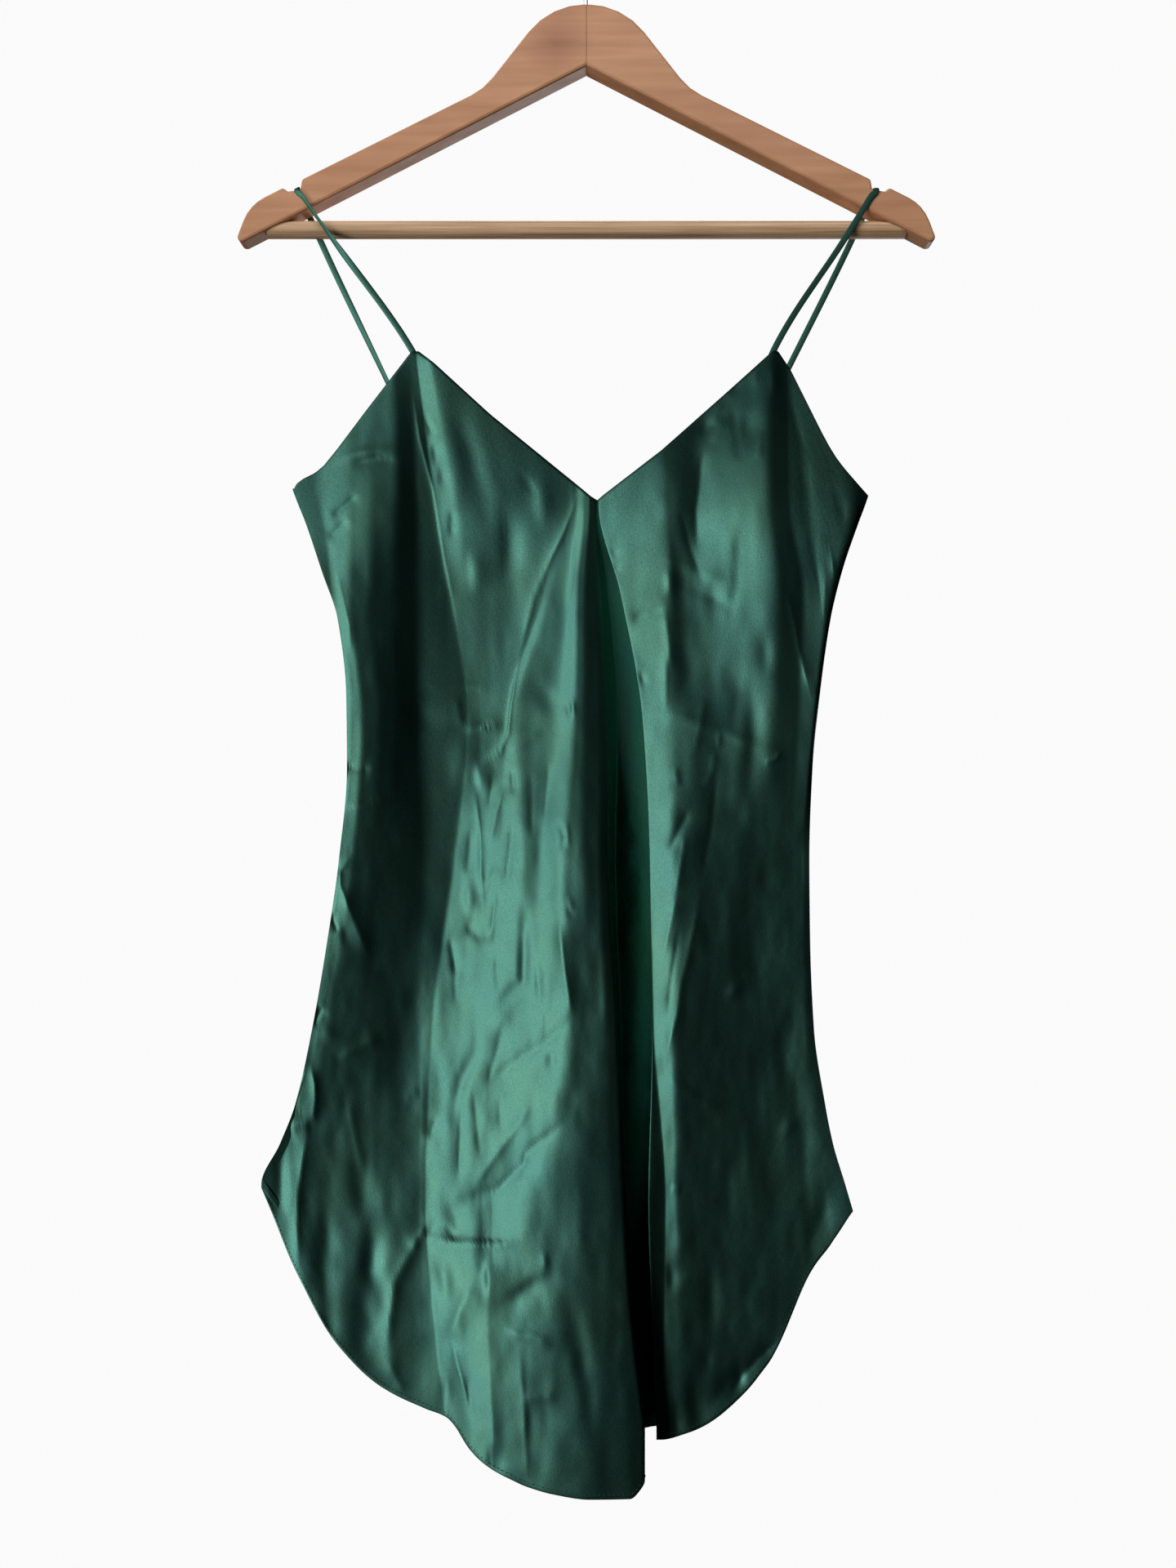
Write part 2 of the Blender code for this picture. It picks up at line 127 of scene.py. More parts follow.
FRONT_LINES = (
    Seam("left", 831),
    Line("left roll", (-184, -169.4, -160.5, -150.8, -156, -172.5, -200, -199, -198),
         (0.6, -1.4, -0.2, -0.9, -0.1, 0.2, 1.8, -1, -2), 851, 3),
    Line("left strip", (-160, -152, -152, -143.8, -149.5, -166, -186, -183, -181),
         (-3, -4.6, -1.8, -1.9, -0.6, 0.5, 1, -4.2, -5), 888.5, 4),
    Line("left side", (-144, -138, -139, -133, -138, -150, -166, -161, -156),
         (-6, -6, -0.9, 0.4, 1.9, 3.4, 3.8, -4.2, -5), 931.5, 5),
    Line("left flank", (-124, -121, -123, -122, -124, -130, -139, -134, -130),
         (-9, -5, 3.8, 5.4, 6.8, 8.4, 5, -1.6, -4), 958.5, 7),
    Line("left trough", (-113, -109, -108, -107, -103, -108, -108, -106, -104),
         (-8.6, 2, 12.2, 15.4, 15.2, 12.4, 6, -2, -5), 972, 5),
    Line("strip left", (-109, -97, -88, -77, -85, -99, -103, -98, -89),
         (-8.6, 3.6, 14.8, 17.6, 17, 12, 5.8, -3, -6), 978, 2),
    Line("band right", (-99, -82, -75, -68, -70, -83, -85, -82, -74),
         (-11.4, -0.6, 12.8, 17, 13.6, 8.4, 0.4, -9.8, -15), 999.5, 4),
    Line("cup", (-70, -51, -51, -62, -62, -72, -75, -72, -66),
         (-11.4, -2.2, 11.6, 16.2, 10.6, 4.9, -2.2, -13.2, -18.2), 1007.5, 6),
    Line("ridge one", (-20, -18, -28, -51, -55, -61, -63, -63, -60),
         (-9, -5, 7.2, 14.4, 7.6, 1.3, -4.8, -15.8, -20.6), 1012, 2),
    Line("ridge one top", (-13, -11, -23, -44, -41, -46, -53, -55, -54),
         (-8.6, -5.5, 5.7, 11.7, 1.8, -3.7, -7.8, -17.2, -21.2), 1015.5, 4),
    Line("ridge two", (-8, -6, -12, -20, -29, -30, -40, -39, -39),
         (-8.2, -6.3, 3.8, 8.3, 0.2, -9.6, -12.6, -20.2, -24), 1022.5, 6),
    Line("ridge two top", (-4, -2, -6, -8, -15, -12, -25, -24, -22),
         (-8, -8, 1.2, 3.2, -7.2, -17, -15.8, -22.9, -27), 1027.6, 6),
    Line("crest", (0, 2, -1, -1, -3, -1, -6, -3, 2),
         (-8, -8.7, 1, 3, -9, -16.9, -18.2, -24.7, -28.8), 1031, 6),
    Line("lobe turn", (2.2, 3.6, 6, 9, 9, 13, 16, 21, 28),
         (-8, -8.3, 3, 5.4, -7.6, -16.8, -17, -23.2, -26.8), 1030.6, 4),
    Line("lobe edge", (4, 5, 9, 13, 14, 20, 24, 29, 38),
         (-8, -8, 4, 7.4, -4.6, -14.4, -15, -21.2, -24.4), 1020.5, 2.5),
    Line("recess left", (5, 6, 14, 20, 18, 21, 24, 28, 34),
         (-8, -7.5, 9, 14.6, 16, 12, 8, 6, 4), 986, 2),
    Line("recess right", (7, 8, 23, 39, 42, 46, 46, 46, 48),
         (-8, -7, 10, 17, 18.6, 17, 17, 14, 10), 983.5, 2),
    Line("right lip", (8.6, 7.6, 21.6, 35.6, 40.4, 42, 39.3, 41.5, 44.7),
         (-8, -8.6, -6.2, -3.4, 0, -2.4, -2.4, -5, -6), 992.5, 1.5),
    Line("right edge", (9, 8, 22, 36, 41, 43, 50, 49, 48),
         (-8, -9, -6.6, -4, -0.4, -2, 1.4, -2, -4.4), 992.5, 2),
    Line("right strip", (43, 49, 53, 54, 57, 57, 59, 61, 64),
         (-12, -21.6, -15.6, -10, -7, -7.6, -1.2, -2.7, -5.8), 988.5, 5),
    Line("right dip", (64, 58, 61, 67, 69, 69, 70, 72, 75),
         (-12, -22.8, -14, -12, -7.2, -6, 0, -1.6, -4), 984, 6),
    Line("bust left", (79, 72, 74, 85, 85, 85, 85, 87, 90),
         (-13, -22.3, -16.4, -12.4, -5.7, -4, 1.4, 0, -2.6), 974, 8),
    Line("bust crest", (117, 116, 121, 119, 114, 111, 111, 114, 116),
         (-25, -38, -30.8, -19, -4.4, -1.2, 3, 1.2, -1.8), 945, 8),
    Line("right trough", (129, 131, 139, 136, 132, 132, 142, 146, 150),
         (-23, -36.6, -28.1, -18.1, -3.8, -0.6, 3.2, 1.6, -1.4), 884, 3),
    Line("right roll", (150, 173, 157.4, 147, 139.5, 142, 158, 163, 169),
         (-30, -42.4, -31.2, -19.3, -3.9, -1, 0.9, 0.3, -1.6), 862, 3),
    Seam("right", 846),
)

# The back's table holds true places, at levels of its own.
BACK_LEVELS = (299, 393, 565, 760, 985)
BACK_LINES = (
    Seam("left", 831),
    Line("left flank", (-150, -150, -132, -149, -165), (13, 13, 15, 15, 14), 905, 12),
    Line("left crest", (-97, -97, -80, -84, -95), (14, 17, 26, 36, 42), 955, 16),
    Line("left dip", (-44, -44, -38, -42, -45), (16, 18, 20, 22, 22), 978, 14),
    Line("centre crest", (2, 2, 4, 5, 5), (18, 20, 29, 39, 46), 985, 16),
    Line("right dip", (48, 48, 42, 44, 48), (16, 18, 21, 23, 23), 978, 14),
    Line("right crest", (92, 92, 80, 82, 95), (14, 17, 25, 34, 40), 955, 16),
    Line("right flank", (146, 146, 122, 126, 142), (12, 12, 14, 13, 11), 880, 12),
    Seam("right", 846),
)

# Upper edges: the x and drop of corners joined by straight runs.
FRONT_EDGE = (
    (-188.3, 385), (-187, 381), (-182, 377), (-174, 373), (-168.5, 368.5), (-160, 358), (-142, 334),
    (-114, 297.5), (-111.5, 295), (-107.5, 295), (-97.5, 302.5), (-62, 335), (-3, 383), (3, 388),
    (7, 390.5), (11, 387), (48, 358.5), (92, 319.5), (117.5, 296.5), (120, 294.5), (123, 295),
    (131, 307), (143.5, 332), (151, 347), (158, 360), (165, 369.5), (178, 384.5), (182, 389),
)
BACK_EDGE = ((-188.3, 383), (-97, 387), (0, 403), (92, 389), (176, 396))

# Creases lie on top of the large folds, along a path of places: troughs have a depth above 0 and
# ridges below 0. left and right are how far the crease reaches on each side of a path that runs
# down; for a path that runs to the right, left is its lower side. A Sharp crease has a crisp line.
Soft = namedtuple("Soft", "path depth left right")
Sharp = namedtuple("Sharp", "path depth left right")

# Places as they are seen from the camera.
LEFT_CUP_CREASES = (
    Sharp(((-113, 310), (-107, 350), (-98, 384), (-91, 427), (-82, 472)), -0.7, 1.5, 4),
    Soft(((-88, 314), (-82, 335), (-77, 352), (-71, 374), (-66, 410)), 1.4, 7, 7),
    Soft(((-105, 333), (-99, 347), (-104, 356)), 0.6, 2, 2),
    Soft(((-98, 351), (-96, 370)), 0.6, 2, 4),
    Soft(((-93, 367), (-92, 384)), 0.5, 2, 4),
    Sharp(((-86, 396), (-87, 415)), 0.7, 1.5, 3),
    Soft(((-50, 390), (-51, 450)), 1.4, 4, 9),
    Sharp(((-41, 373), (-34, 389)), 0.6, 1.5, 3),
    Soft(((-30, 371), (-26, 412)), -1.1, 5, 7),
    Soft(((-72, 417), (-70, 455)), -1.1, 4, 8),
    Sharp(((-3, 380), (-14, 410), (-22, 426), (-28, 440), (-34, 454), (-40, 478), (-45, 498)),
          -0.8, 2.5, 3),
    Sharp(((-6, 405), (-8, 430), (-10, 448), (-13, 463)), -0.6, 2, 3),
    Soft(((-166, 367), (-147, 361), (-131, 358), (-119, 360)), -0.9, 3, 3),
    Sharp(((-152, 367), (-135, 363), (-118, 365)), 0.9, 5, 2),
    Sharp(((-178, 362), (-174, 378), (-170, 396), (-166, 420), (-162, 462)), 0.4, 5, 5),
    Sharp(((-146, 386), (-164, 402)), 0.9, 3, 3),
    Sharp(((-153, 402), (-166, 416)), 0.8, 3, 3),
    Sharp(((-161, 430), (-157, 450), (-152, 470), (-151, 492)), -0.6, 3, 3),
)
RIGHT_CUP_CREASES = (
    Sharp(((109, 304), (108, 318)), -0.4, 2, 2),
    Soft(((121, 300), (120, 326)), -0.7, 3, 3),
    Sharp(((112, 345), (110, 366)), -0.4, 2, 3),
    Sharp(((93, 327), (96, 348), (99, 367)), 0.7, 2, 3),
    Sharp(((87, 326), (82, 342)), -0.5, 2, 2),
    Sharp(((89, 338), (80, 354)), -0.5, 2, 2),
    Soft(((98, 313), (91, 322)), 0.6, 3, 3),
    Soft(((88, 333), (84, 339)), 0.4, 2, 2),
    Soft(((80, 337), (72, 350)), 0.6, 3, 3),
    Sharp(((76, 355), (73, 370), (72, 383), (70, 397), (71, 425)), 1.2, 4, 5),
    Sharp(((128, 308), (132, 330), (138, 357), (141, 383), (144, 410), (148, 437), (152, 469)),
          0.9, 4, 4),
    Soft(((164, 381), (163, 409)), 0.6, 2.5, 3),
    Sharp(((157, 425), (159, 440)), -0.6, 2, 2),
    Sharp(((154, 436), (152, 470)), -0.5, 2, 2),
    Sharp(((46, 428), (64, 433.5), (77, 438), (91, 443)), -0.9, 4, 6),
    Soft(((53, 432), (54, 454)), -1, 3, 8),
    Soft(((16, 425.5), (20, 422)), 0.4, 1.5, 1.5),
    Soft(((17, 435.5), (22, 432)), 0.4, 1.5, 1.5),
    Sharp(((28, 468), (37, 463), (51, 460)), 0.8, 3, 3),
    Sharp(((50, 458), (52, 475), (55, 501)), -1.1, 4, 5),
    Soft(((81, 434), (83, 480)), 0.7, 5, 7),
    Soft(((114, 472), (115, 505)), 0.9, 4, 5),
    Sharp(((128, 447), (134, 472), (139, 500)), -0.5, 2, 3),
    Sharp(((60, 395), (66, 420), (76, 448)), 0.9, 3, 7),
    Sharp(((64, 448), (80, 452), (96, 462)), 0.8, 3, 6),
    Sharp(((98, 400), (96, 440), (90, 478)), 0.6, 2, 7),
    Soft(((104, 330), (102, 360)), 0.9, 4, 7),
    Soft(((58, 470), (66, 500), (62, 530)), 1.2, 6, 8),
    Soft(((92, 486), (98, 516), (94, 548)), 1.1, 6, 8),
)
LEFT_WAIST_CREASES = (
    Sharp(((-156, 561), (-137, 563.5)), 1.2, 4, 3),
    Sharp(((-156, 586), (-142, 585.5), (-123, 580)), -0.8, 3, 2),
    Sharp(((-149, 617), (-158, 628), (-157.5, 638), (-151, 655)), -1.1, 3, 4),
    Sharp(((-84, 515), (-79, 538)), -0.5, 3, 2),
    Sharp(((-111, 510.5), (-84, 509), (-56, 511)), -0.4, 2, 3),
    Sharp(((-81, 537), (-52, 534.5)), -1.1, 3, 4),
    Soft(((-79, 520), (-77, 584)), -1.6, 9, 11),
    Sharp(((-41, 486), (-46, 507), (-48.5, 524), (-50, 539), (-55, 551), (-65, 558), (-74, 562)),
          -1, 2, 3),
    Sharp(((-53, 552), (-40, 545.5), (-27, 538.5)), -0.6, 2, 2),
    Soft(((-13, 517), (-10, 532)), 0.5, 1.5, 2),
    Soft(((-9, 516), (-8, 531)), -0.5, 1.5, 1.5),
    Sharp(((-19, 595), (-14, 606), (-17, 617)), 0.7, 2, 2),
    Sharp(((-13, 597), (-11, 614)), -0.6, 2, 2),
    Soft(((-70, 556), (-66, 580)), -1.2, 3, 6),
    Sharp(((-48, 562), (-46.5, 580)), 0.9, 2, 3),
    Sharp(((-73, 571), (-70, 587), (-68, 603), (-67.5, 628), (-65, 657)), -1.1, 5, 3),
    Sharp(((-52, 573), (-57.5, 590), (-61, 606), (-64, 613)), -1, 3, 4),
    Sharp(((-57, 624), (-66, 643)), -0.7, 2, 3),
    Soft(((-76, 631), (-74, 660)), -1.1, 3, 5),
    Sharp(((-11, 644), (-9, 657)), -0.5, 1.5, 2),
    Sharp(((-74, 600), (-77, 632)), 0.7, 2, 5),
    Sharp(((-60, 566), (-63, 590)), 0.6, 2, 5),
    Sharp(((-47, 594), (-52, 640)), 0.8, 2, 6),
    Sharp(((-58, 640), (-62, 676)), 0.8, 2, 6),
    Sharp(((-36, 560), (-35, 610)), 0.6, 2, 5),
    Sharp(((-24, 556), (-27, 600)), 0.5, 2, 5),
    Soft(((-120, 520), (-104, 530), (-88, 532)), 1.2, 8, 8),
    Soft(((-36, 500), (-24, 520), (-8, 524)), 0.7, 6, 6),
)
RIGHT_WAIST_CREASES = (
    Sharp(((51, 484), (51, 529)), -0.9, 4, 4),
    Soft(((34, 498), (38, 511)), 0.5, 2, 2),
    Sharp(((35, 532), (47, 529), (63, 530.5), (73, 535), (86, 538), (101, 545), (114, 548), (126, 552)),
          -1, 3, 5),
    Sharp(((125, 550), (122, 556), (113, 560)), -0.7, 2, 2),
    Sharp(((57, 561), (59, 574)), -0.6, 3, 2),
    Sharp(((67, 587), (59, 602), (52, 617)), 1.2, 3, 4),
    Sharp(((64, 600), (62, 617), (57, 646)), -1, 3, 3),
    Sharp(((82.5, 550), (81, 563), (76, 576)), -0.7, 3, 3),
    Sharp(((85, 538), (85, 550)), -0.5, 1.5, 2),
    Sharp(((76, 516), (73, 535), (69, 554)), -0.5, 2.5, 3),
    Soft(((106, 488), (107, 546), (103, 597)), 1.4, 5, 8),
    Sharp(((137, 486), (141, 505), (149, 518)), -0.7, 2, 3),
)
LOBE_CREASES = (
    Sharp(((-79, 663), (-69, 669.5), (-58, 670)), 1.4, 3, 3),
    Sharp(((-88, 670), (-83, 696)), 1.2, 2, 3),
    Soft(((-40, 641), (-40.5, 699), (-50, 706), (-55, 715), (-60, 727)), 1.3, 3, 4),
    Soft(((-32, 680), (-29, 724)), 0.7, 2, 3),
    Sharp(((-18, 658), (-14, 690), (-9, 722)), -1.5, 4, 3),
    Soft(((-13, 651), (-7, 658)), 0.6, 2, 2),
    Sharp(((-65, 767), (-56.5, 758.5), (-39, 745.5), (-26, 738), (-6, 720)), 1.5, 5, 4),
    Soft(((-22, 741), (-24, 756)), 0.6, 2, 3),
    Soft(((-66, 730), (-72, 747), (-79, 760), (-84, 779), (-85.5, 800)), 1.2, 4, 4),
    Sharp(((-73, 765), (-68, 815)), 0.6, 2, 5),
    Sharp(((-79, 770), (-81, 792), (-82, 828)), 0.8, 2, 5),
    Sharp(((-85, 680), (-84, 716)), 0.6, 2, 5),
    Sharp(((-58, 680), (-57, 706)), 0.6, 2, 5),
    Sharp(((-52, 722), (-58, 745), (-65, 768)), 0.8, 2.5, 6),
    Sharp(((-56, 770), (-55, 796)), 0.5, 2, 4),
    Sharp(((-24, 690), (-27, 740)), 0.5, 2, 5),
    Soft(((-46, 780), (-44, 840)), 1, 7, 8),
    Sharp(((-74, 834), (-56.5, 808), (-46.5, 795), (-33, 775)), -1.2, 3, 6),
    Sharp(((-95, 853), (-84, 842), (-69, 836), (-56.5, 832), (-51, 826), (-40, 816), (-39, 809),
           (-24, 797), (-6, 782)), 1.4, 5, 3),
    Sharp(((-109, 861), (-92, 865), (-80, 866.5), (-67, 866.5), (-55, 867.5), (-40, 864)), -2, 5, 2),
    Sharp(((-67, 824), (-67, 878)), 0.3, 2, 5),
    Sharp(((-61, 828), (-60, 888)), 0.3, 2, 5),
    Sharp(((-104, 862), (-96, 855), (-89, 857), (-81, 868)), 1.2, 4, 4),
    Soft(((-88, 836), (-79, 868)), 1.2, 5, 7),
    Soft(((-92, 872), (-89, 909)), 1.3, 5, 4),
    Sharp(((-71, 888), (-81, 909), (-91, 932)), -1.6, 5, 9),
    Sharp(((-87, 925), (-82.5, 945), (-77.5, 962), (-75, 979)), -1.4, 5, 3),
    Soft(((-89.5, 943), (-88, 975)), 1, 3, 3),
    Soft(((-77, 951), (-74, 981)), 0.9, 3, 3),
    Soft(((-63, 874), (-61, 906)), -1.8, 3, 11),
    Soft(((-62, 912), (-48, 904), (-34, 894), (-14, 886)), 2, 9, 5),
    Soft(((-27, 871), (-26, 886)), -0.6, 2, 2),
    Sharp(((-54, 921.5), (-43.5, 925), (-33.5, 927), (-20, 933.5)), -1.5, 4, 4),
    Sharp(((-43, 930), (-41, 956), (-39.5, 975), (-39, 992), (-37, 1026)), -0.8, 7, 2.5),
    Sharp(((-42, 966), (-18, 965)), -0.8, 3, 4),
    Soft(((-36, 962), (-35, 1000)), 0.7, 3, 5),
    Soft(((-27, 955), (-23, 1004)), 0.9, 5, 8),
    Soft(((-61, 993), (-59, 1021)), 1.4, 4, 9),
    Soft(((-16, 878), (-8, 914), (-3, 935), (0, 955), (3.5, 975), (12, 1015)), 1.6, 6, 7),
)
LEFT_TAIL_CREASES = (
    Sharp(((-165, 654), (-159, 668)), 1.1, 2, 3),
    Soft(((-156, 655), (-153, 680)), 1, 3, 5),
    Sharp(((-158, 638), (-148, 662), (-137, 688)), -1.6, 8, 5),
    Sharp(((-177, 727), (-168, 715)), 1.2, 3, 3),
    Soft(((-171, 725), (-161, 739)), -0.7, 4, 4),
    Sharp(((-161, 749), (-149, 743), (-130, 734)), -1.5, 4, 6),
    Sharp(((-177.5, 751), (-174, 764), (-173.5, 775), (-175, 786), (-179, 791)), -2, 5, 3),
    Sharp(((-191, 792.5), (-186, 791), (-176, 791)), -1.2, 5, 2),
    Sharp(((-178, 793), (-182, 815), (-184.5, 834), (-185.5, 855), (-184.5, 886)), -1.6, 4, 3),
    Soft(((-196, 802), (-195, 854)), 1, 4, 4),
    Sharp(((-153, 769), (-150, 788), (-146, 807), (-142, 825)), -0.8, 4, 3),
    Soft(((-147, 808), (-142, 858)), 1.5, 6, 8),
    Soft(((-170, 850), (-167, 905)), 1.7, 6, 10),
    Soft(((-167, 836), (-166, 886)), 1, 4, 6),
    Soft(((-168, 872), (-165, 926)), 0.9, 4, 6),
    Soft(((-168, 904), (-160, 938)), 1.1, 4, 6),
    Soft(((-138, 846), (-137, 868), (-139, 884), (-136, 892), (-131, 908)), 2.4, 6, 7),
    Sharp(((-105, 857), (-111.5, 872), (-118, 883), (-122.5, 892), (-124, 904), (-126, 916),
           (-127, 940)), -2.2, 8, 5),
    Soft(((-143, 878), (-141, 962)), 1.6, 7, 9),
    Soft(((-128, 915), (-125, 960)), -1.2, 6, 8),
    Sharp(((-127, 942), (-122, 953), (-116, 963)), -0.7, 3, 3),
    Sharp(((-113, 871), (-102, 857)), -1.1, 2, 3),
    Soft(((-120, 700), (-117, 790)), 1.6, 9, 12),
    Sharp(((-117, 773.5), (-107, 768.5)), -0.6, 2, 2),
    Soft(((-106, 735), (-105, 812)), -0.6, 9, 4),
    Soft(((-103, 630), (-102, 728)), -0.9, 12, 9),
    Sharp(((-95, 786), (-101, 799)), 1.1, 4, 3),
)
RIGHT_SKIRT_CREASES = (
    Sharp(((59, 640), (52, 670), (50, 684)), -1.1, 4, 4),
    Sharp(((74, 636), (69.5, 663), (65, 685), (61, 700), (58.5, 720), (53, 739), (51, 750), (50, 763)),
          -1.4, 6, 4),
    Sharp(((49, 761.5), (62, 767.5), (73, 774.5), (89, 782)), -0.7, 3, 2),
    Sharp(((54, 831.5), (61, 832)), -0.6, 2, 2),
    Soft(((100, 696), (90, 713)), -0.9, 4, 4),
    Sharp(((60, 660), (54, 700), (52, 726)), 0.8, 2, 5),
    Sharp(((84, 560), (80, 600), (72, 640)), 0.9, 3, 7),
    Soft(((112, 620), (104, 680), (108, 740)), 1, 9, 10),
    Soft(((88, 790), (94, 850), (90, 900)), 1, 9, 10),
    Soft(((118, 780), (122, 830), (116, 880)), 0.9, 8, 10),
    Soft(((126, 702), (127, 775)), 1.1, 7, 9),
    Soft(((134, 783), (126, 800)), -0.6, 4, 4),
    Soft(((157, 822), (147, 872)), 1.6, 6, 9),
    Soft(((54, 876), (56, 900)), 1.1, 3, 6),
    Soft(((47, 893), (50, 955)), 0.7, 4, 4),
    Soft(((77, 929), (79, 955)), 1, 4, 4),
    Soft(((80, 880), (80, 929)), 1, 5, 6),
    Sharp(((90, 968), (100, 951), (109, 941), (126, 926)), 2.6, 13, 6),
    Soft(((78, 975), (89, 959), (101, 948)), 1.6, 9, 5),
    Soft(((70, 940), (72, 1000)), 2.2, 6, 10),
    Soft(((57, 960), (60, 1010)), 1.8, 5, 9),
    Soft(((99, 942), (97, 959)), 1, 3, 3),
)
FRONT_CREASES = LEFT_CUP_CREASES + RIGHT_CUP_CREASES + LEFT_WAIST_CREASES + RIGHT_WAIST_CREASES
FRONT_CREASES += LOBE_CREASES + LEFT_TAIL_CREASES + RIGHT_SKIRT_CREASES

# True places.
BACK_CREASES = (
    Sharp(((-96, 396), (-88, 430), (-84, 472)), 1, 4, 5),
    Sharp(((92, 398), (86, 434), (88, 470)), 0.9, 5, 4),
    Soft(((-60, 412), (-30, 428), (6, 432), (44, 424), (66, 408)), 0.9, 5, 5),
    Sharp(((-128, 418), (-120, 462), (-122, 520)), -0.9, 4, 5),
    Sharp(((-40, 440), (-34, 500), (-42, 566)), -0.7, 4, 4),
    Sharp(((30, 452), (26, 516), (33, 590)), 0.8, 4, 5),
    Sharp(((118, 430), (112, 486), (116, 530)), -0.8, 4, 4),
    Sharp(((-118, 560), (-84, 548), (-52, 552)), -0.9, 4, 5),
    Sharp(((44, 580), (76, 570), (112, 578)), 0.9, 4, 4),
    Soft(((-100, 600), (-108, 680), (-104, 760)), 1.4, 6, 7),
    Sharp(((-66, 630), (-60, 720), (-66, 800)), -0.9, 4, 5),
    Soft(((12, 620), (20, 700), (16, 770)), 1.2, 6, 6),
    Sharp(((70, 640), (64, 716), (70, 790)), -0.9, 5, 4),
    Sharp(((-140, 742), (-120, 730), (-96, 734)), 0.9, 4, 4),
    Sharp(((28, 760), (52, 748), (84, 752)), -1, 4, 5),
    Soft(((-126, 790), (-132, 850), (-126, 900)), 1.5, 6, 7),
    Sharp(((-58, 820), (-50, 880), (-56, 944)), 1, 4, 5),
    Sharp(((-8, 836), (0, 900), (-4, 962)), -0.9, 5, 4),
    Soft(((58, 830), (66, 890), (60, 946)), 1.4, 6, 6),
    Sharp(((104, 800), (112, 850), (108, 904)), -0.9, 4, 5),
)

# seed: for the panel's small relief. inward: 1 where the inside of the dress lies further away, and -1
# where it lies nearer. seen: whether the tables hold places as they are seen from the camera.
Panel = namedtuple("Panel", "lines levels edge creases seed inward seen")
FRONT = Panel(FRONT_LINES, FRONT_LEVELS, FRONT_EDGE, FRONT_CREASES, seed=3, inward=1, seen=True)
BACK = Panel(BACK_LINES, BACK_LEVELS, BACK_EDGE, BACK_CREASES, seed=5, inward=-1, seen=False)

# ---------------- straps
STRAP_WIDTH = 4.0
STRAP_THICK = 1.1
STRAP_SIDES = 12  # of its oval cross-section
OVAL_POWER = 0.8  # below 1, the oval is fuller at its ends
STRAP_STEP = 2.0  # between two rings of points
STRAP_INSIDE = 9.0  # length sewn to the inside of a panel
STRAP_BEHIND = 0.8  # from a panel's face to the middle of that length
STRAP_SLANT_ON = 6.0  # how much of that length goes on in the strap's slant
ARM_FACE = 7.0  # half the thickness of the wood
ARM_ROUNDING = 1.6
STRAP_LIFT = 0.3 + 1.2 / 2  # from the wood to the middle of a strap
NOTCH_X = 184.0
NOTCH_DROP = 76.0 + 118.4  # that of the wood's top, and the notch's floor below it
BELOW_NOTCH = (30, 12, 4)  # where the strap leaves the wood's face, and two places above that
OVER_ROUNDING = (0, 30, 60, 90)  # degrees, from the wood's face to its top

# front and back: the x, y and drop where the strap meets each panel. turns: how a strap twists, as the
# angle in degrees, the drop at which it is greatest and how far it reaches, for the run in front and
# the one behind.
Turn = namedtuple("Turn", "angle drop reach")
Strap = namedtuple("Strap", "node side front back turns")
STRAPS = (
    Strap("strap_left", -1, front=(-110.0, -7.6, 298.0), back=(-97.0, 15.5, 387.0),
          turns=(Turn(68, 214, 22), Turn(-42, 325, 60))),
    Strap("strap_right", 1, front=(117.5, -21.5, 300.5), back=(92.0, 15.5, 389.0),
          turns=(Turn(6, 240, 60), Turn(-10, 300, 60))),
)

# ---------------- glue line of the hanger's joint
GLUE_NEAR = 0.4  # the arms' ends lie within this of the middle
GLUE_WIDTH = 0.28
GLUE_DEPTHS = (2.6, 6.3)  # from the middle of the wood
GLUE_SET_BACK = 0.8  # from the top and the underside of the joint

# ---------------- looks
# Linear colours. The straps have a tighter and duller weave than the panels, and their colours are a
# lighter copy of the panels' satin: painted light, so that the thin straps look lit.
WHITE = (1, 1, 1)
SATIN_COOL = (0.1, 0.288, 0.24)
SATIN_WARM = (0.116, 0.311, 0.231)
# painted light: the same satin as the panels, made lighter so that the straps look lit
STRAP_LIT_COOL = (0.15, 0.42, 0.35)
STRAP_LIT_WARM = (0.17, 0.45, 0.34)
GRAIN_DARK = (0.72, 0.76, 0.76)  # what is left of the colour between the threads
THREAD_COLOUR = (0.025, 0.095, 0.075)
ARM_DARK = (0.56, 0.262, 0.125)
ARM_LIGHT = (0.68, 0.335, 0.17)
BAR_DARK = (0.5, 0.29, 0.15)
BAR_LIGHT = (0.92, 0.61, 0.37)
STAIN_COLOUR = (0.72, 0.6, 0.55)
STAIN_SHARE = 0.3
GLUE_COLOUR = (0.07, 0.03, 0.012)
STEEL_COLOUR = (0.56, 0.56, 0.55)

# A reddish handling mark on both faces of an arm: its x and drop, how far from there it is full, and
# how far it shows.
SMUDGE_COLOUR = (0.6, 0.46, 0.42)
SMUDGE_SHARE = 0.7
SMUDGE_PLACE = (-19, 101)
SMUDGE_CORE = 2
SMUDGE_REACH = 24

# The colour sockets of Blender's Mix node, which share their names with others.
MIX_A = 6
MIX_B = 7
MIX_RESULT = 2

# ---------------- studio
FLOOR_DROP = 2900.0
FLOOR_SIZE = 20.0  # metres
FLOOR_COLOUR = (0.02, 0.02, 0.02, 1)
PALE = 0.96  # what the camera sees of the backdrop and the floor
DIM = 0.004  # what else they give, so that dark folds stay dark

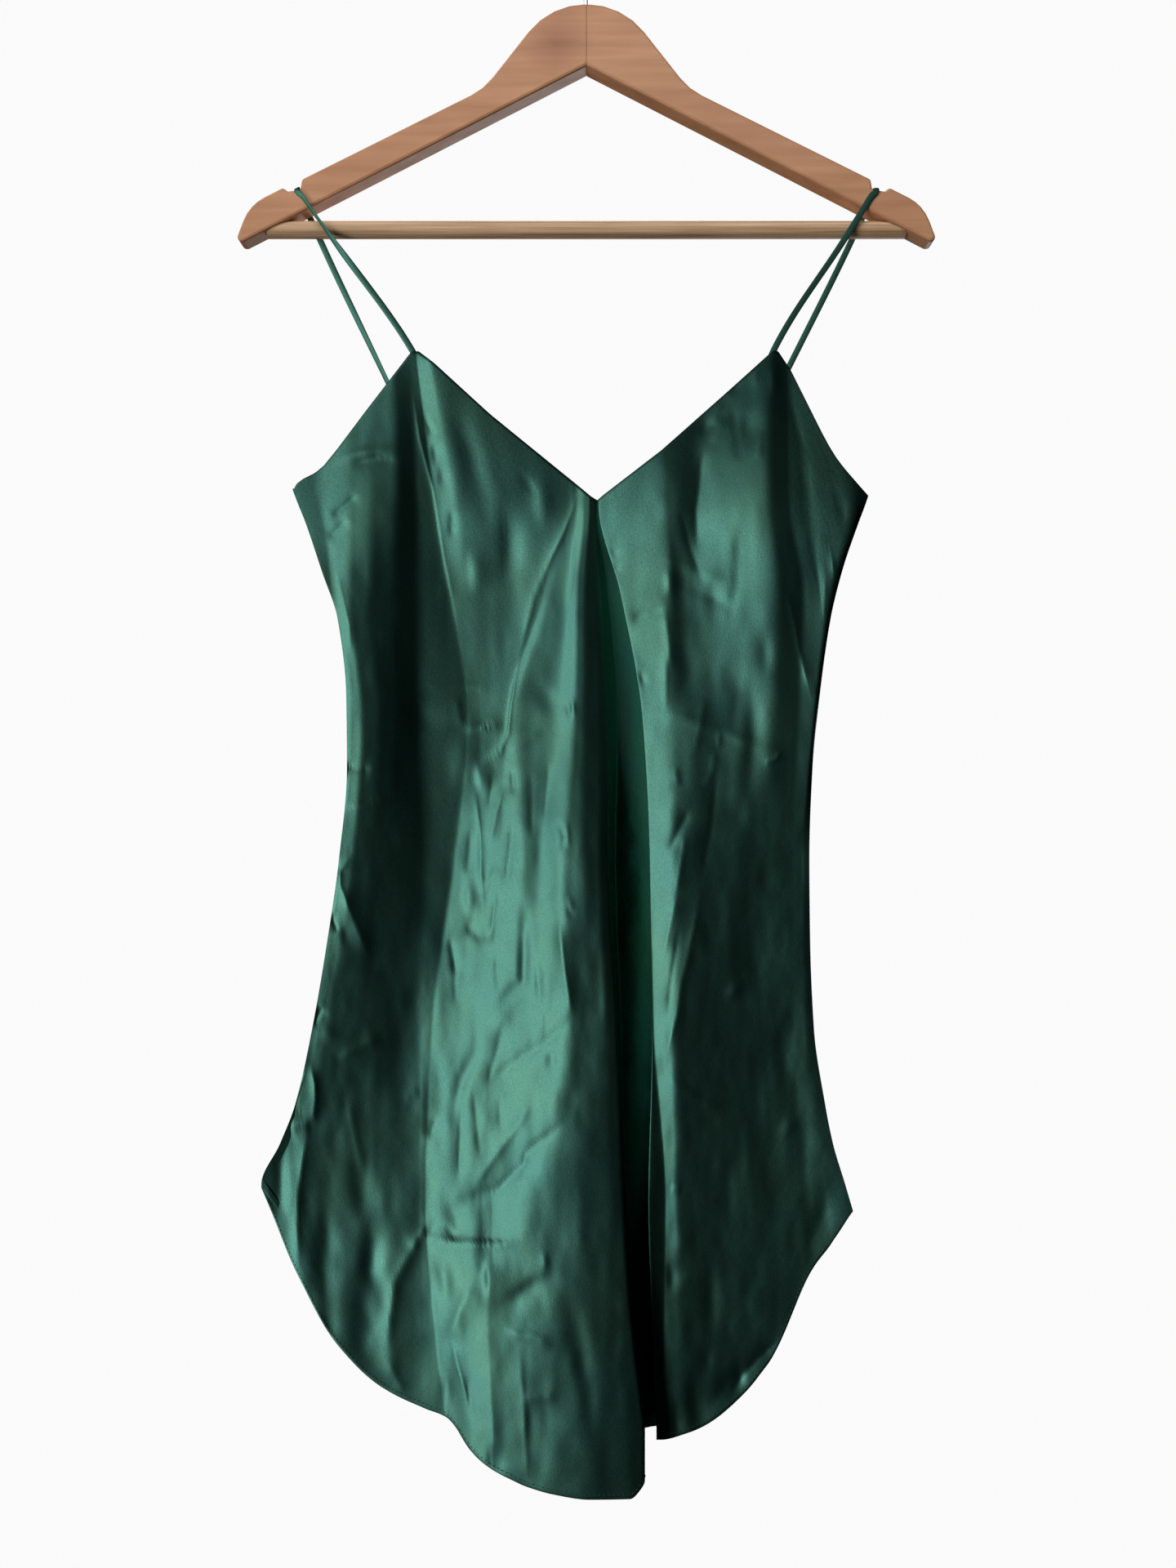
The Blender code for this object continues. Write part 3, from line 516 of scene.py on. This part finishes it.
# Soft oblong lights, with sizes and distances in metres. Azimuth 0 is in front of the dress, and
# above 0 to the viewer's right. aim is a place in metres.
Light = namedtuple("Light", "name azimuth elevation distance size power aim")
DRESS_LIGHTS = (
    Light("key", -48, -7, 2.8, (0.9, 3.4), 42.5, aim=(0, 0, -0.65)),
    Light("back_key", 160, -7, 2.8, (0.9, 3.4), 30, aim=(0, 0, -0.65)),
)
HANGER_LIGHTS = (
    Light("hanger_light", -8, 40, 1.1, (1.7, 0.4), 9, aim=(0, 0, -0.12)),
    Light("hanger_back_light", 172, 40, 1.1, (1.7, 0.4), 9, aim=(0, 0, -0.12)),
)


# ---------------- helpers
def smooth(knots, values, at):
    """A curve through values, one for each knot, that never overshoots them. It keeps at's shape."""
    at = np.asarray(at, float)
    knots = np.asarray(knots, float)
    values = np.asarray(values, float)
    values = values.reshape(values.shape + (1,) * (at.ndim + 1 - values.ndim))
    values = np.broadcast_to(values, knots.shape + at.shape)
    secants = np.diff(values, axis=0) / np.diff(knots).reshape((-1,) + (1,) * at.ndim)
    product = secants[:-1] * secants[1:]
    total = secants[:-1] + secants[1:]
    inner = np.where(product > 0, 2 * product / np.where(product > 0, total, 1), 0)
    slopes = np.concatenate([secants[:1], inner, secants[-1:]])
    index = np.clip(np.searchsorted(knots, at, side="right") - 1, 0, len(knots) - 2)
    span = knots[index + 1] - knots[index]
    t = np.clip((at - knots[index]) / span, 0, 1)

    def pick(rows, shift):
        return np.take_along_axis(rows, (index + shift)[None], axis=0)[0]

    start = pick(values, 0) * (1 + 2 * t) + pick(slopes, 0) * span * t
    end = pick(values, 1) * (3 - 2 * t) - pick(slopes, 1) * span * (1 - t)
    return start * (1 - t) ** 2 + end * t**2


def bent(knots, radii, values, at):
    """Straight runs between values, one for each knot, with each bend rounded by its own radius.

    values[k] and at have the same shape, or shapes that fit each other.
    """
    slopes = np.diff(values, axis=0) / np.diff(knots).reshape((-1,) + (1,) * (values.ndim - 1))
    made = values[0] + slopes[0] * (at - knots[0])
    for knot, radius, change in zip(knots[1:-1], radii[1:-1], np.diff(slopes, axis=0)):
        t = (at - knot) / radius
        q = np.clip((t + 1) / 2, 0, 1)
        made = made + change * radius * (2 * q**3 - q**4 + np.maximum(t - 1, 0))
    return made


def mesh_object(name, points, faces, material, uv=None):
    """A smooth mesh of points in millimetres; uv gives each vertex a place on the flat cloth."""
    mesh = bpy.data.meshes.new(name)
    mesh.from_pydata((np.asarray(points, float).reshape(-1, 3) * MM).tolist(), [], faces)
    mesh.shade_smooth()
    if uv is not None:
        layer = mesh.uv_layers.new(name="cloth")
        corners = np.zeros(len(mesh.loops), int)
        mesh.loops.foreach_get("vertex_index", corners)
        layer.data.foreach_set("uv", np.asarray(uv, np.float32)[corners].ravel())
    made = bpy.data.objects.new(name, mesh)
    bpy.context.scene.collection.objects.link(made)
    mesh.materials.append(material)
    return made


def grid_faces(rows, columns, flip=False):
    corner = np.arange(rows * columns).reshape(rows, columns)
    faces = np.stack([corner[:-1, :-1], corner[1:, :-1], corner[1:, 1:], corner[:-1, 1:]], axis=-1)
    faces = faces.reshape(-1, 4)
    return (faces[:, ::-1] if flip else faces).tolist()


def from_seen(x, y, drop):
    """True x and drop of what the camera sees at x and drop, if it lies at depth y."""
    scale = (CAMERA_DISTANCE + y) / CAMERA_DISTANCE
    return CAMERA_X + (x - CAMERA_X) * scale, CAMERA_DROP + (drop - CAMERA_DROP) * scale


# ---------------- creases and small relief
def nearest_on_path(path, x, drop):
    """Of each place: its distance from the path, the share of the path there, and its side."""
    steps = np.hypot(*np.diff(path, axis=0).T)
    along = np.append(0, np.cumsum(steps)) / steps.sum()
    nearest = np.full(x.shape, np.inf)
    share = np.zeros_like(x)
    side = np.zeros_like(x)
    for (x0, drop0), (x1, drop1), a0, a1 in zip(path[:-1], path[1:], along[:-1], along[1:]):
        run = (x1 - x0, drop1 - drop0)
        t = ((x - x0) * run[0] + (drop - drop0) * run[1]) / (run[0] ** 2 + run[1] ** 2)
        t = np.clip(t, 0, 1)
        away = np.hypot(x - x0 - t * run[0], drop - drop0 - t * run[1])
        closer = away < nearest
        nearest = np.where(closer, away, nearest)
        share = np.where(closer, a0 + (a1 - a0) * t, share)
        side = np.where(closer, run[0] * (drop - drop0) - run[1] * (x - x0), side)
    return nearest, share, side


def crease_height(crease, x, drop):
    """One crease's depth at each place: full along its path, and faded out at the path's ends."""
    nearest, share, side = nearest_on_path(np.asarray(crease.path, float), x, drop)
    away = nearest / np.where(side > 0, crease.left, crease.right)
    if isinstance(crease, Sharp):
        fall = np.exp(-away)
        rise = SHARP_RISE
    else:
        fall = np.exp(-(away**2))
        rise = SOFT_RISE
    ends = np.clip(rise * np.minimum(share, 1 - share), 0, 1)
    return crease.depth * ends * ends * (3 - 2 * ends) * fall


def crease_relief(creases, x, drop):
    total = np.zeros_like(x)
    for crease in creases:
        path = np.asarray(crease.path, float)
        reach = CREASE_REACH * max(crease.left, crease.right)
        low = path.min(axis=0) - reach
        high = path.max(axis=0) + reach
        near = (x > low[0]) & (x < high[0]) & (drop > low[1]) & (drop < high[1])
        total[near] += crease_height(crease, x[near], drop[near])
    return total


def soft_noise(rng, x, drop, layer):
    """One layer of smooth random lumps."""
    column = (x - x.min()) / layer.width
    row = (drop - drop.min()) / layer.height
    coarse = rng.uniform(-1, 1, (int(row.max()) + 2, int(column.max()) + 2))
    i = row.astype(int)
    j = column.astype(int)
    s = row - i
    t = column - j
    s = s * s * (3 - 2 * s)
    t = t * t * (3 - 2 * t)
    upper = coarse[i, j] * (1 - t) + coarse[i, j + 1] * t
    lower = coarse[i + 1, j] * (1 - t) + coarse[i + 1, j + 1] * t
    return layer.depth * (upper * (1 - s) + lower * s)


def small_relief(seed, x, drop):
    rng = np.random.default_rng(seed)
    relief = sum(soft_noise(rng, x, drop, layer) for layer in RELIEFS)
    return relief * smooth(RELIEF_DROPS, RELIEF_SHARES, drop)


# ---------------- panels
def line_places(panel, drop):
    """x and y of every line and seam of a panel, at each drop."""
    x = []
    y = []
    for line in panel.lines:
        if isinstance(line, Seam):
            y.append(smooth(SEAM_DROPS, SEAM_Y[line.side], drop))
            seam = smooth(SEAM_DROPS, SEAM_X[line.side], drop)
            x.append(seam if panel.seen else from_seen(seam, y[-1], drop)[0])
        else:
            x.append(smooth(panel.levels, line.x, drop))
            y.append(smooth(panel.levels, line.y, drop))
    return np.array(x), np.array(y)


def places_on_cloth(panel):
    """Each line's place across the cloth: the mean of its distances at all levels below the top."""
    x, y = line_places(panel, np.asarray(panel.levels[2:], float))
    steps = np.hypot(np.diff(x, axis=0), np.diff(y, axis=0)).mean(axis=1)
    return np.append(0, np.cumsum(np.maximum(steps, LEAST_ROOM)))


def column_places(places, bends):
    """Places of the columns across the cloth, closer together at crisp lines."""
    fine = np.linspace(places[0], places[-1], FINE_STEPS)
    density = np.ones_like(fine)
    for place, bend in zip(places, bends):
        density += CROWDING / bend * np.exp(-(((fine - place) / CRISP_ROOM) ** 2))
    total = np.cumsum(density)
    share = (total - total[0]) / (total[-1] - total[0])
    return np.interp(np.linspace(0, 1, PANEL_COLUMNS), share, fine)


def panel_layout(panel):
    """Places of the lines across the cloth, the radii of their bends, and places of the columns."""
    places = places_on_cloth(panel)
    bends = [line.bend if isinstance(line, Line) else LEAST_ROOM for line in panel.lines]
    room = np.diff(places)
    limits = np.minimum(np.append(room, room[-1]), np.append(room[0], room)) / 2
    return places, np.minimum(bends, limits), column_places(places, bends)


def upper_edge(panel, places, radii, across):
    """Each column's drop at the upper edge.

    That drop depends on the column's x, and its x on the drop, so the two are settled in turns.
    """
    edge_x, edge_drop = zip(*panel.edge)
    top = np.full(across.shape, float(panel.levels[1]))
    for _turn in range(EDGE_TURNS):
        x = bent(places, radii, line_places(panel, top)[0], across)
        top = (top + np.interp(x, edge_x, edge_drop)) / 2
    return top


def panel_rows(top, hem):
    """The drop of each row, with those of the turned margins, and how far it lies behind the face."""
    share = np.linspace(0, 1, PANEL_ROWS)[:, None]
    drop = np.concatenate(
        [top + [[row.back * EDGE_WIDTH] for row in TURNED_ROWS[::-1]]]
        + [top + (hem - top) * share]
        + [hem - [[row.back * HEM_WIDTH] for row in TURNED_ROWS]]
    )
    turned = np.array([[row.behind] for row in TURNED_ROWS]) * TURNED_GAP
    return drop, np.concatenate([turned[::-1], np.zeros((PANEL_ROWS, 1)), turned])


def panel_points(panel):
    """The panel's points in true places, with its turned margins, and their places on flat cloth."""
    places, radii, across = panel_layout(panel)
    top = upper_edge(panel, places, radii, across)
    hem = smooth(places, [line.hem for line in panel.lines], across)
    drop, behind = panel_rows(top, hem)
    x, y = line_places(panel, drop)
    x = bent(places, radii, x, across)
    y = bent(places, radii, y, across)
    margin = np.minimum(across - across[0], across[-1] - across)
    y = y + small_relief(panel.seed, x, drop) * np.clip(margin / RELIEF_ROOM, 0, 1)
    sewn = np.clip(margin / CREASE_ROOM, 0, 1)
    y = y + (crease_relief(panel.creases, x, drop) + panel.inward * behind) * sewn
    if panel.seen:
        x, drop = from_seen(x, y, drop)
    flat = np.stack([np.broadcast_to(across, drop.shape), drop], axis=-1)
    return np.stack([x, y, -drop], axis=-1), flat


def make_panel(name, node, points, flat, material, flip):
    rows, columns = points.shape[:2]
    made = mesh_object(name, points, grid_faces(rows, columns, flip), material, flat.reshape(-1, 2) * MM)
    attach(made, "root")
    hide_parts(node)
    return made


def stitch_line(points):
    """The line on which the stitches lie, the way up the cloth there, and distances along it."""
    hem_row = len(TURNED_ROWS) + PANEL_ROWS - 1
    up = points[hem_row - 2] - points[hem_row]
    line = points[hem_row] + up * (STITCH_RISE / np.linalg.norm(up, axis=1))[:, None]
    along = np.append(0, np.cumsum(np.linalg.norm(np.diff(line, axis=0), axis=1)))
    return line, up, along


def make_stitches(name, points, material, outward):
    """A row of short stitches just above a panel's hem. outward is the y side that shows."""
    line, up, along = stitch_line(points)

    def at(rows, distance):
        return Vector([np.interp(distance, along, rows[:, axis]) for axis in range(3)])

    vertices = []
    faces = []
    for start in np.arange(STITCH_PITCH, along[-1] - 2 * STITCH_PITCH, STITCH_PITCH):
        centre = at(line, start)
        forward = (at(line, start + 1) - centre).normalized()
        out = forward.cross(at(up, start)).normalized()
        if out.y * outward < 0:
            out.negate()
        aside = out.cross(forward)
        base = len(vertices)
        for a, b, c in STITCH_CORNERS:
            place = centre + forward * a * STITCH_LENGTH + aside * b * STITCH_WIDTH
            vertices.append(tuple(place + out * (c * STITCH_HEIGHT + STITCH_LIFT)))
        faces += [tuple(base + corner for corner in face) for face in STITCH_FACES]
    made = mesh_object(name, vertices, faces, material)
    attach(made, "root")
    return made


# ---------------- straps
def strap_route(strap):
    """The middle of the strap from the front panel over the wood to the back panel."""
    notch_x = strap.side * NOTCH_X

    def run(start, way):
        x, y, drop = start
        inside = -way * STRAP_BEHIND
        lean = (x - notch_x) / (drop - NOTCH_DROP)
        made = [(x + lean * STRAP_SLANT_ON, y + inside, drop + STRAP_INSIDE), (x, y + inside, drop)]
        face = way * (ARM_FACE + STRAP_LIFT)
        made += [(notch_x + lean * low, face, NOTCH_DROP + low) for low in BELOW_NOTCH]
        for angle in np.radians(OVER_ROUNDING):
            out = ARM_FACE - ARM_ROUNDING + (ARM_ROUNDING + STRAP_LIFT) * math.cos(angle)
            high = ARM_ROUNDING - (ARM_ROUNDING + STRAP_LIFT) * math.sin(angle)
            made.append((notch_x, way * out, NOTCH_DROP + high))
        return made

    return np.array(run(strap.front, -1) + run(strap.back, 1)[::-1])


def strap_sections(strap):
    """Where the strap's rings of points lie: along it, in space, and which ways its two axes point."""
    route = strap_route(strap)
    steps = np.linalg.norm(np.diff(route, axis=0), axis=1)
    along = np.append(0, np.cumsum(steps))
    at = np.unique(np.concatenate([np.arange(0, along[-1], STRAP_STEP), along]))
    centre = np.stack([smooth(along, route[:, axis], at) for axis in range(3)], axis=-1)
    tangent = np.gradient(centre, at, axis=0)
    tangent /= np.linalg.norm(tangent, axis=1)[:, None]
    across = np.tile((1.0, 0.0, 0.0), (len(at), 1))
    across -= tangent * (across * tangent).sum(axis=1)[:, None]
    across /= np.linalg.norm(across, axis=1)[:, None]
    normal = np.cross(tangent, across)
    top = along[np.argmin(route[:, 2])]
    turn = np.zeros(len(at))
    for twist, part in zip(strap.turns, (at < top, at >= top)):
        away = (centre[:, 2] - twist.drop) / twist.reach
        turn += np.radians(twist.angle) * np.exp(-(away**2)) * part
    cosine = np.cos(turn)[:, None]
    sine = np.sin(turn)[:, None]
    return at, centre, across * cosine + normal * sine, normal * cosine - across * sine


def make_strap(strap, material):
    at, centre, across, normal = strap_sections(strap)
    ring = np.linspace(0, 2 * math.pi, STRAP_SIDES + 1)[:-1]
    wide = np.sign(np.cos(ring)) * np.abs(np.cos(ring)) ** OVAL_POWER * STRAP_WIDTH / 2
    thick = np.sin(ring) * STRAP_THICK / 2
    points = centre[:, None] + across[:, None] * wide[:, None] + normal[:, None] * thick[:, None]
    points[..., 2] *= -1
    rows, columns = points.shape[:2]
    corner = np.arange(rows * columns).reshape(rows, columns)
    corner = np.append(corner, corner[:, :1], axis=1)
    faces = np.stack([corner[:-1, :-1], corner[:-1, 1:], corner[1:, 1:], corner[1:, :-1]], axis=-1)
    faces = faces.reshape(-1, 4).tolist()
    faces += [corner[0, :-1][::-1].tolist(), corner[-1, :-1].tolist()]
    uv = np.stack(np.broadcast_arrays(wide + thick, at[:, None]), axis=-1).reshape(-1, 2) * MM
    made = mesh_object(strap.node + "_satin", points, faces, material, uv)
    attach(made, "root")
    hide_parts(strap.node)
    return made


# ---------------- materials
def new_material(name, colour, metallic=0.0):
    material = bpy.data.materials.new(name)
    material.use_nodes = True
    tree = material.node_tree
    shader = tree.nodes["Principled BSDF"]
    shader.inputs["Base Color"].default_value = (*colour, 1)
    shader.inputs["Metallic"].default_value = metallic
    return material, tree, shader


def node(tree, kind, **values):
    """A new node, with values for its inputs or else for its settings."""
    made = tree.nodes.new(kind)
    for name, value in values.items():
        if name in made.inputs:
            made.inputs[name].default_value = value
        else:
            setattr(made, name, value)
    return made


def scaled_place(tree, output, scale):
    """The place on the surface, from one of the texture coordinates, times a scale for each axis."""
    place = node(tree, "ShaderNodeTexCoord")
    mapping = node(tree, "ShaderNodeMapping", Scale=scale)
    tree.links.new(place.outputs[output], mapping.inputs["Vector"])
    return mapping.outputs["Vector"]


def noise(tree, output, fineness, detail=2.0):
    """Random lumps, from 0 to 1, on a texture coordinate. fineness: lumps in a metre on each axis."""
    made = node(tree, "ShaderNodeTexNoise", Scale=1.0, Detail=detail)
    tree.links.new(scaled_place(tree, output, fineness), made.inputs["Vector"])
    return made.outputs["Fac"]


def ramp(tree, value, low, high, start, end):
    """A change of colour from low to high as the value goes from start to end."""
    made = node(tree, "ShaderNodeValToRGB")
    for element, stop, colour in zip(made.color_ramp.elements, (start, end), (low, high)):
        element.position = stop
        element.color = (*colour, 1)
    tree.links.new(value, made.inputs["Fac"])
    return made.outputs["Color"]


def multiplied(tree, colour, other, share):
    """The colour times the other one, as far as the share says."""
    made = node(tree, "ShaderNodeMix", data_type="RGBA", blend_type="MULTIPLY")
    made.inputs["Factor"].default_value = share
    tree.links.new(colour, made.inputs[MIX_A])
    tree.links.new(other, made.inputs[MIX_B])
    return made.outputs[MIX_RESULT]


def roughen(tree, shader, lumps, limits):
    """Roughness from the first limit to the second one, as the lumps go from 0 to 1."""
    made = node(tree, "ShaderNodeMapRange", **{"To Min": limits[0], "To Max": limits[1]})
    tree.links.new(lumps, made.inputs["Value"])
    tree.links.new(made.outputs["Result"], shader.inputs["Roughness"])


def bump(tree, shader, height, strength, distance):
    """Fine relief that only bends the light. distance is in metres."""
    made = node(tree, "ShaderNodeBump", Strength=strength, Distance=distance)
    tree.links.new(height, made.inputs["Height"])
    tree.links.new(made.outputs["Normal"], shader.inputs["Normal"])


def satin_material(name, cool, warm, roughness):
    """Polyester satin: long warp floats that run down the cloth, with a soft sheen."""
    material, tree, shader = new_material(name, warm, metallic=1.0)
    floats = noise(tree, "UV", fineness=(2400, 260, 1))
    slubs = noise(tree, "UV", fineness=(700, 400, 1), detail=3.0)
    clouds = noise(tree, "UV", fineness=(26, 14, 1), detail=3.0)
    grain = noise(tree, "UV", fineness=(1500, 900, 1))
    tint = ramp(tree, clouds, cool, warm, start=0.35, end=0.65)
    shade = ramp(tree, grain, GRAIN_DARK, WHITE, start=0.3, end=0.65)
    tree.links.new(multiplied(tree, tint, shade, share=1.0), shader.inputs["Base Color"])
    roughen(tree, shader, floats, roughness)
    both = node(tree, "ShaderNodeMath", operation="ADD")
    tree.links.new(floats, both.inputs[0])
    tree.links.new(slubs, both.inputs[1])
    bump(tree, shader, both.outputs[0], strength=0.3, distance=0.00012)
    return material


def fine_material(name, colour, fineness, roughness, relief, metallic=0.0, detail=2.0):
    """Thread, wire or glue: one colour, made uneven by its strands, scratches or crumbs."""
    material, tree, shader = new_material(name, colour, metallic)
    lumps = noise(tree, "Object", fineness, detail)
    roughen(tree, shader, lumps, roughness)
    bump(tree, shader, lumps, strength=relief, distance=0.0001)
    return material


def wood_material(name, dark, light, fineness, smudge=None):
    """Lacquered wood whose grain runs along X, with a few broader stains.

    smudge is the x and drop of a handling mark.
    """
    material, tree, shader = new_material(name, light)
    grain = noise(tree, "Object", fineness, detail=6.0)
    colour = ramp(tree, grain, dark, light, start=0.3, end=0.62)
    stains = noise(tree, "Object", fineness=(22, 60, 60))
    stain = ramp(tree, stains, STAIN_COLOUR, WHITE, start=0.3, end=0.6)
    colour = multiplied(tree, colour, stain, STAIN_SHARE)
    if smudge:
        away = node(tree, "ShaderNodeVectorMath", operation="DISTANCE")
        away.inputs[1].default_value = (smudge[0] * MM, 0, -smudge[1] * MM)
        tree.links.new(scaled_place(tree, "Object", (1, 0, 1)), away.inputs[0])
        distance = away.outputs["Value"]
        mark = ramp(tree, distance, SMUDGE_COLOUR, WHITE, start=SMUDGE_CORE * MM, end=SMUDGE_REACH * MM)
        colour = multiplied(tree, colour, mark, SMUDGE_SHARE)
    tree.links.new(colour, shader.inputs["Base Color"])
    roughen(tree, shader, grain, limits=(0.58, 0.42))
    bump(tree, shader, grain, strength=0.15, distance=0.0003)
    return material


# ---------------- hanger
def make_glue_line(name, arm, material, way):
    """The dark line in the narrow gap between the two arms, before or behind the hook's stem."""
    places = [arm.matrix_world @ vertex.co for vertex in arm.data.vertices]
    heights = [place.z for place in places if abs(place.x) < GLUE_NEAR * MM]
    top = max(heights) / MM - GLUE_SET_BACK
    low = min(heights) / MM + GLUE_SET_BACK
    near, far = (way * depth for depth in GLUE_DEPTHS)
    half = GLUE_WIDTH / 2
    corners = [(x, y, z) for x in (-half, half) for y in (near, far) for z in (low, top)]
    faces = [(0, 1, 3, 2), (4, 6, 7, 5), (0, 4, 5, 1), (2, 3, 7, 6), (0, 2, 6, 4), (1, 5, 7, 3)]
    made = mesh_object(name, corners, faces, material)
    made.data.shade_flat()
    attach(made, "root")
    return made


# ---------------- studio
def backdrop_shader(tree, dim):
    """The given shader for light that bounces, and plain pale for what the camera sees directly."""
    pale = node(tree, "ShaderNodeEmission", Color=(*WHITE, 1), Strength=PALE)
    path = node(tree, "ShaderNodeLightPath")
    mix = node(tree, "ShaderNodeMixShader")
    tree.links.new(path.outputs["Is Camera Ray"], mix.inputs[0])
    tree.links.new(dim.outputs[0], mix.inputs[1])
    tree.links.new(pale.outputs[0], mix.inputs[2])
    return mix.outputs[0]


def make_floor():
    size = FLOOR_SIZE / 2 / MM
    corners = [(-size, -size, -FLOOR_DROP), (size, -size, -FLOOR_DROP)]
    corners += [(size, size, -FLOOR_DROP), (-size, size, -FLOOR_DROP)]
    material = bpy.data.materials.new("floor")
    material.use_nodes = True
    tree = material.node_tree
    tree.nodes.clear()
    dim = node(tree, "ShaderNodeBsdfDiffuse", Color=FLOOR_COLOUR)
    out = node(tree, "ShaderNodeOutputMaterial")
    tree.links.new(backdrop_shader(tree, dim), out.inputs["Surface"])
    mesh_object("floor", corners, [(0, 1, 2, 3)], material)


def make_world():
    scene = bpy.context.scene
    scene.view_settings.view_transform = "Standard"
    world = bpy.data.worlds.new("studio")
    scene.world = world
    world.use_nodes = True
    tree = world.node_tree
    tree.nodes.clear()
    dim = node(tree, "ShaderNodeBackground", Color=(*WHITE, 1), Strength=DIM)
    out = node(tree, "ShaderNodeOutputWorld")
    tree.links.new(backdrop_shader(tree, dim), out.inputs[0])


def area_light(light):
    data = bpy.data.lights.new(light.name, "AREA")
    data.shape = "RECTANGLE"
    data.size, data.size_y = light.size
    data.energy = light.power
    made = bpy.data.objects.new(light.name, data)
    bpy.context.scene.collection.objects.link(made)
    turn = math.radians(light.azimuth)
    lift = math.radians(light.elevation)
    away = Vector((math.sin(turn) * math.cos(lift), -math.cos(turn) * math.cos(lift), math.sin(lift)))
    made.location = Vector(light.aim) + away * light.distance
    made.rotation_euler = away.to_track_quat("Z", "Y").to_euler()
    return made


def keep_off(light, pieces):
    """The light passes these pieces by."""
    group = bpy.data.collections.new(light.name + "_passes_by")
    for piece in pieces:
        group.objects.link(piece)
    light.light_linking.receiver_collection = group
    for member in group.collection_objects:
        member.light_linking.link_state = "EXCLUDE"


def make_camera():
    data = bpy.data.cameras.new("camera")
    data.sensor_width = SENSOR
    data.lens = SENSOR * CAMERA_DISTANCE / (PICTURE_HEIGHT / PIXELS_A_MM)
    data.clip_start, data.clip_end = CAMERA_CLIP
    camera = bpy.data.objects.new("camera", data)
    bpy.context.scene.collection.objects.link(camera)
    camera.location = (CAMERA_X * MM, -CAMERA_DISTANCE * MM, -CAMERA_DROP * MM)
    camera.rotation_euler = (math.pi / 2, 0, 0)
    bpy.context.scene.camera = camera


# ---------------- the whole
make_camera()
make_world()
for light in DRESS_LIGHTS:
    area_light(light)
hanger_lights = [area_light(light) for light in HANGER_LIGHTS]
make_floor()
satin = satin_material("satin", SATIN_COOL, SATIN_WARM, roughness=(0.42, 0.54))
# The straps' satin is a lighter copy of the panels' satin, which is painted light.
lit_strap_satin = satin_material("lit_strap_satin", STRAP_LIT_COOL, STRAP_LIT_WARM, roughness=(0.64, 0.74))
thread = fine_material("thread", THREAD_COLOUR, (3000, 3000, 3000), roughness=(0.5, 0.7), relief=0.3)
glue = fine_material("glue", GLUE_COLOUR, (900, 900, 900), roughness=(0.6, 0.8), relief=0.2)
steel = fine_material("steel", STEEL_COLOUR, (900, 900, 120), roughness=(0.2, 0.38), relief=0.08,
                      metallic=1.0, detail=3.0)
arm_wood = wood_material("arm_wood", ARM_DARK, ARM_LIGHT, fineness=(9, 150, 150), smudge=SMUDGE_PLACE)
bar_wood = wood_material("bar_wood", BAR_DARK, BAR_LIGHT, fineness=(9, 480, 480))
for name, material in (
    ("hanger_arm_left", arm_wood),
    ("hanger_arm_right", arm_wood),
    ("hanger_bar", bar_wood),
    ("hanger_hook", steel),
):
    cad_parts[name].material_slots[0].material = material
left_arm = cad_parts["hanger_arm_left"]
make_glue_line("front_glue", left_arm, glue, -1)
make_glue_line("back_glue", left_arm, glue, 1)

points, flat = panel_points(FRONT)
front = make_panel("front_satin", "dress_front", points, flat, satin, flip=False)
stitches = [make_stitches("front_stitches", points, thread, outward=-1)]
points, flat = panel_points(BACK)
back = make_panel("back_satin", "dress_back", points, flat, satin, flip=True)
stitches.append(make_stitches("back_stitches", points, thread, outward=1))
straps = [make_strap(strap, lit_strap_satin) for strap in STRAPS]
for light in hanger_lights:
    keep_off(light, [front, back] + stitches + straps)
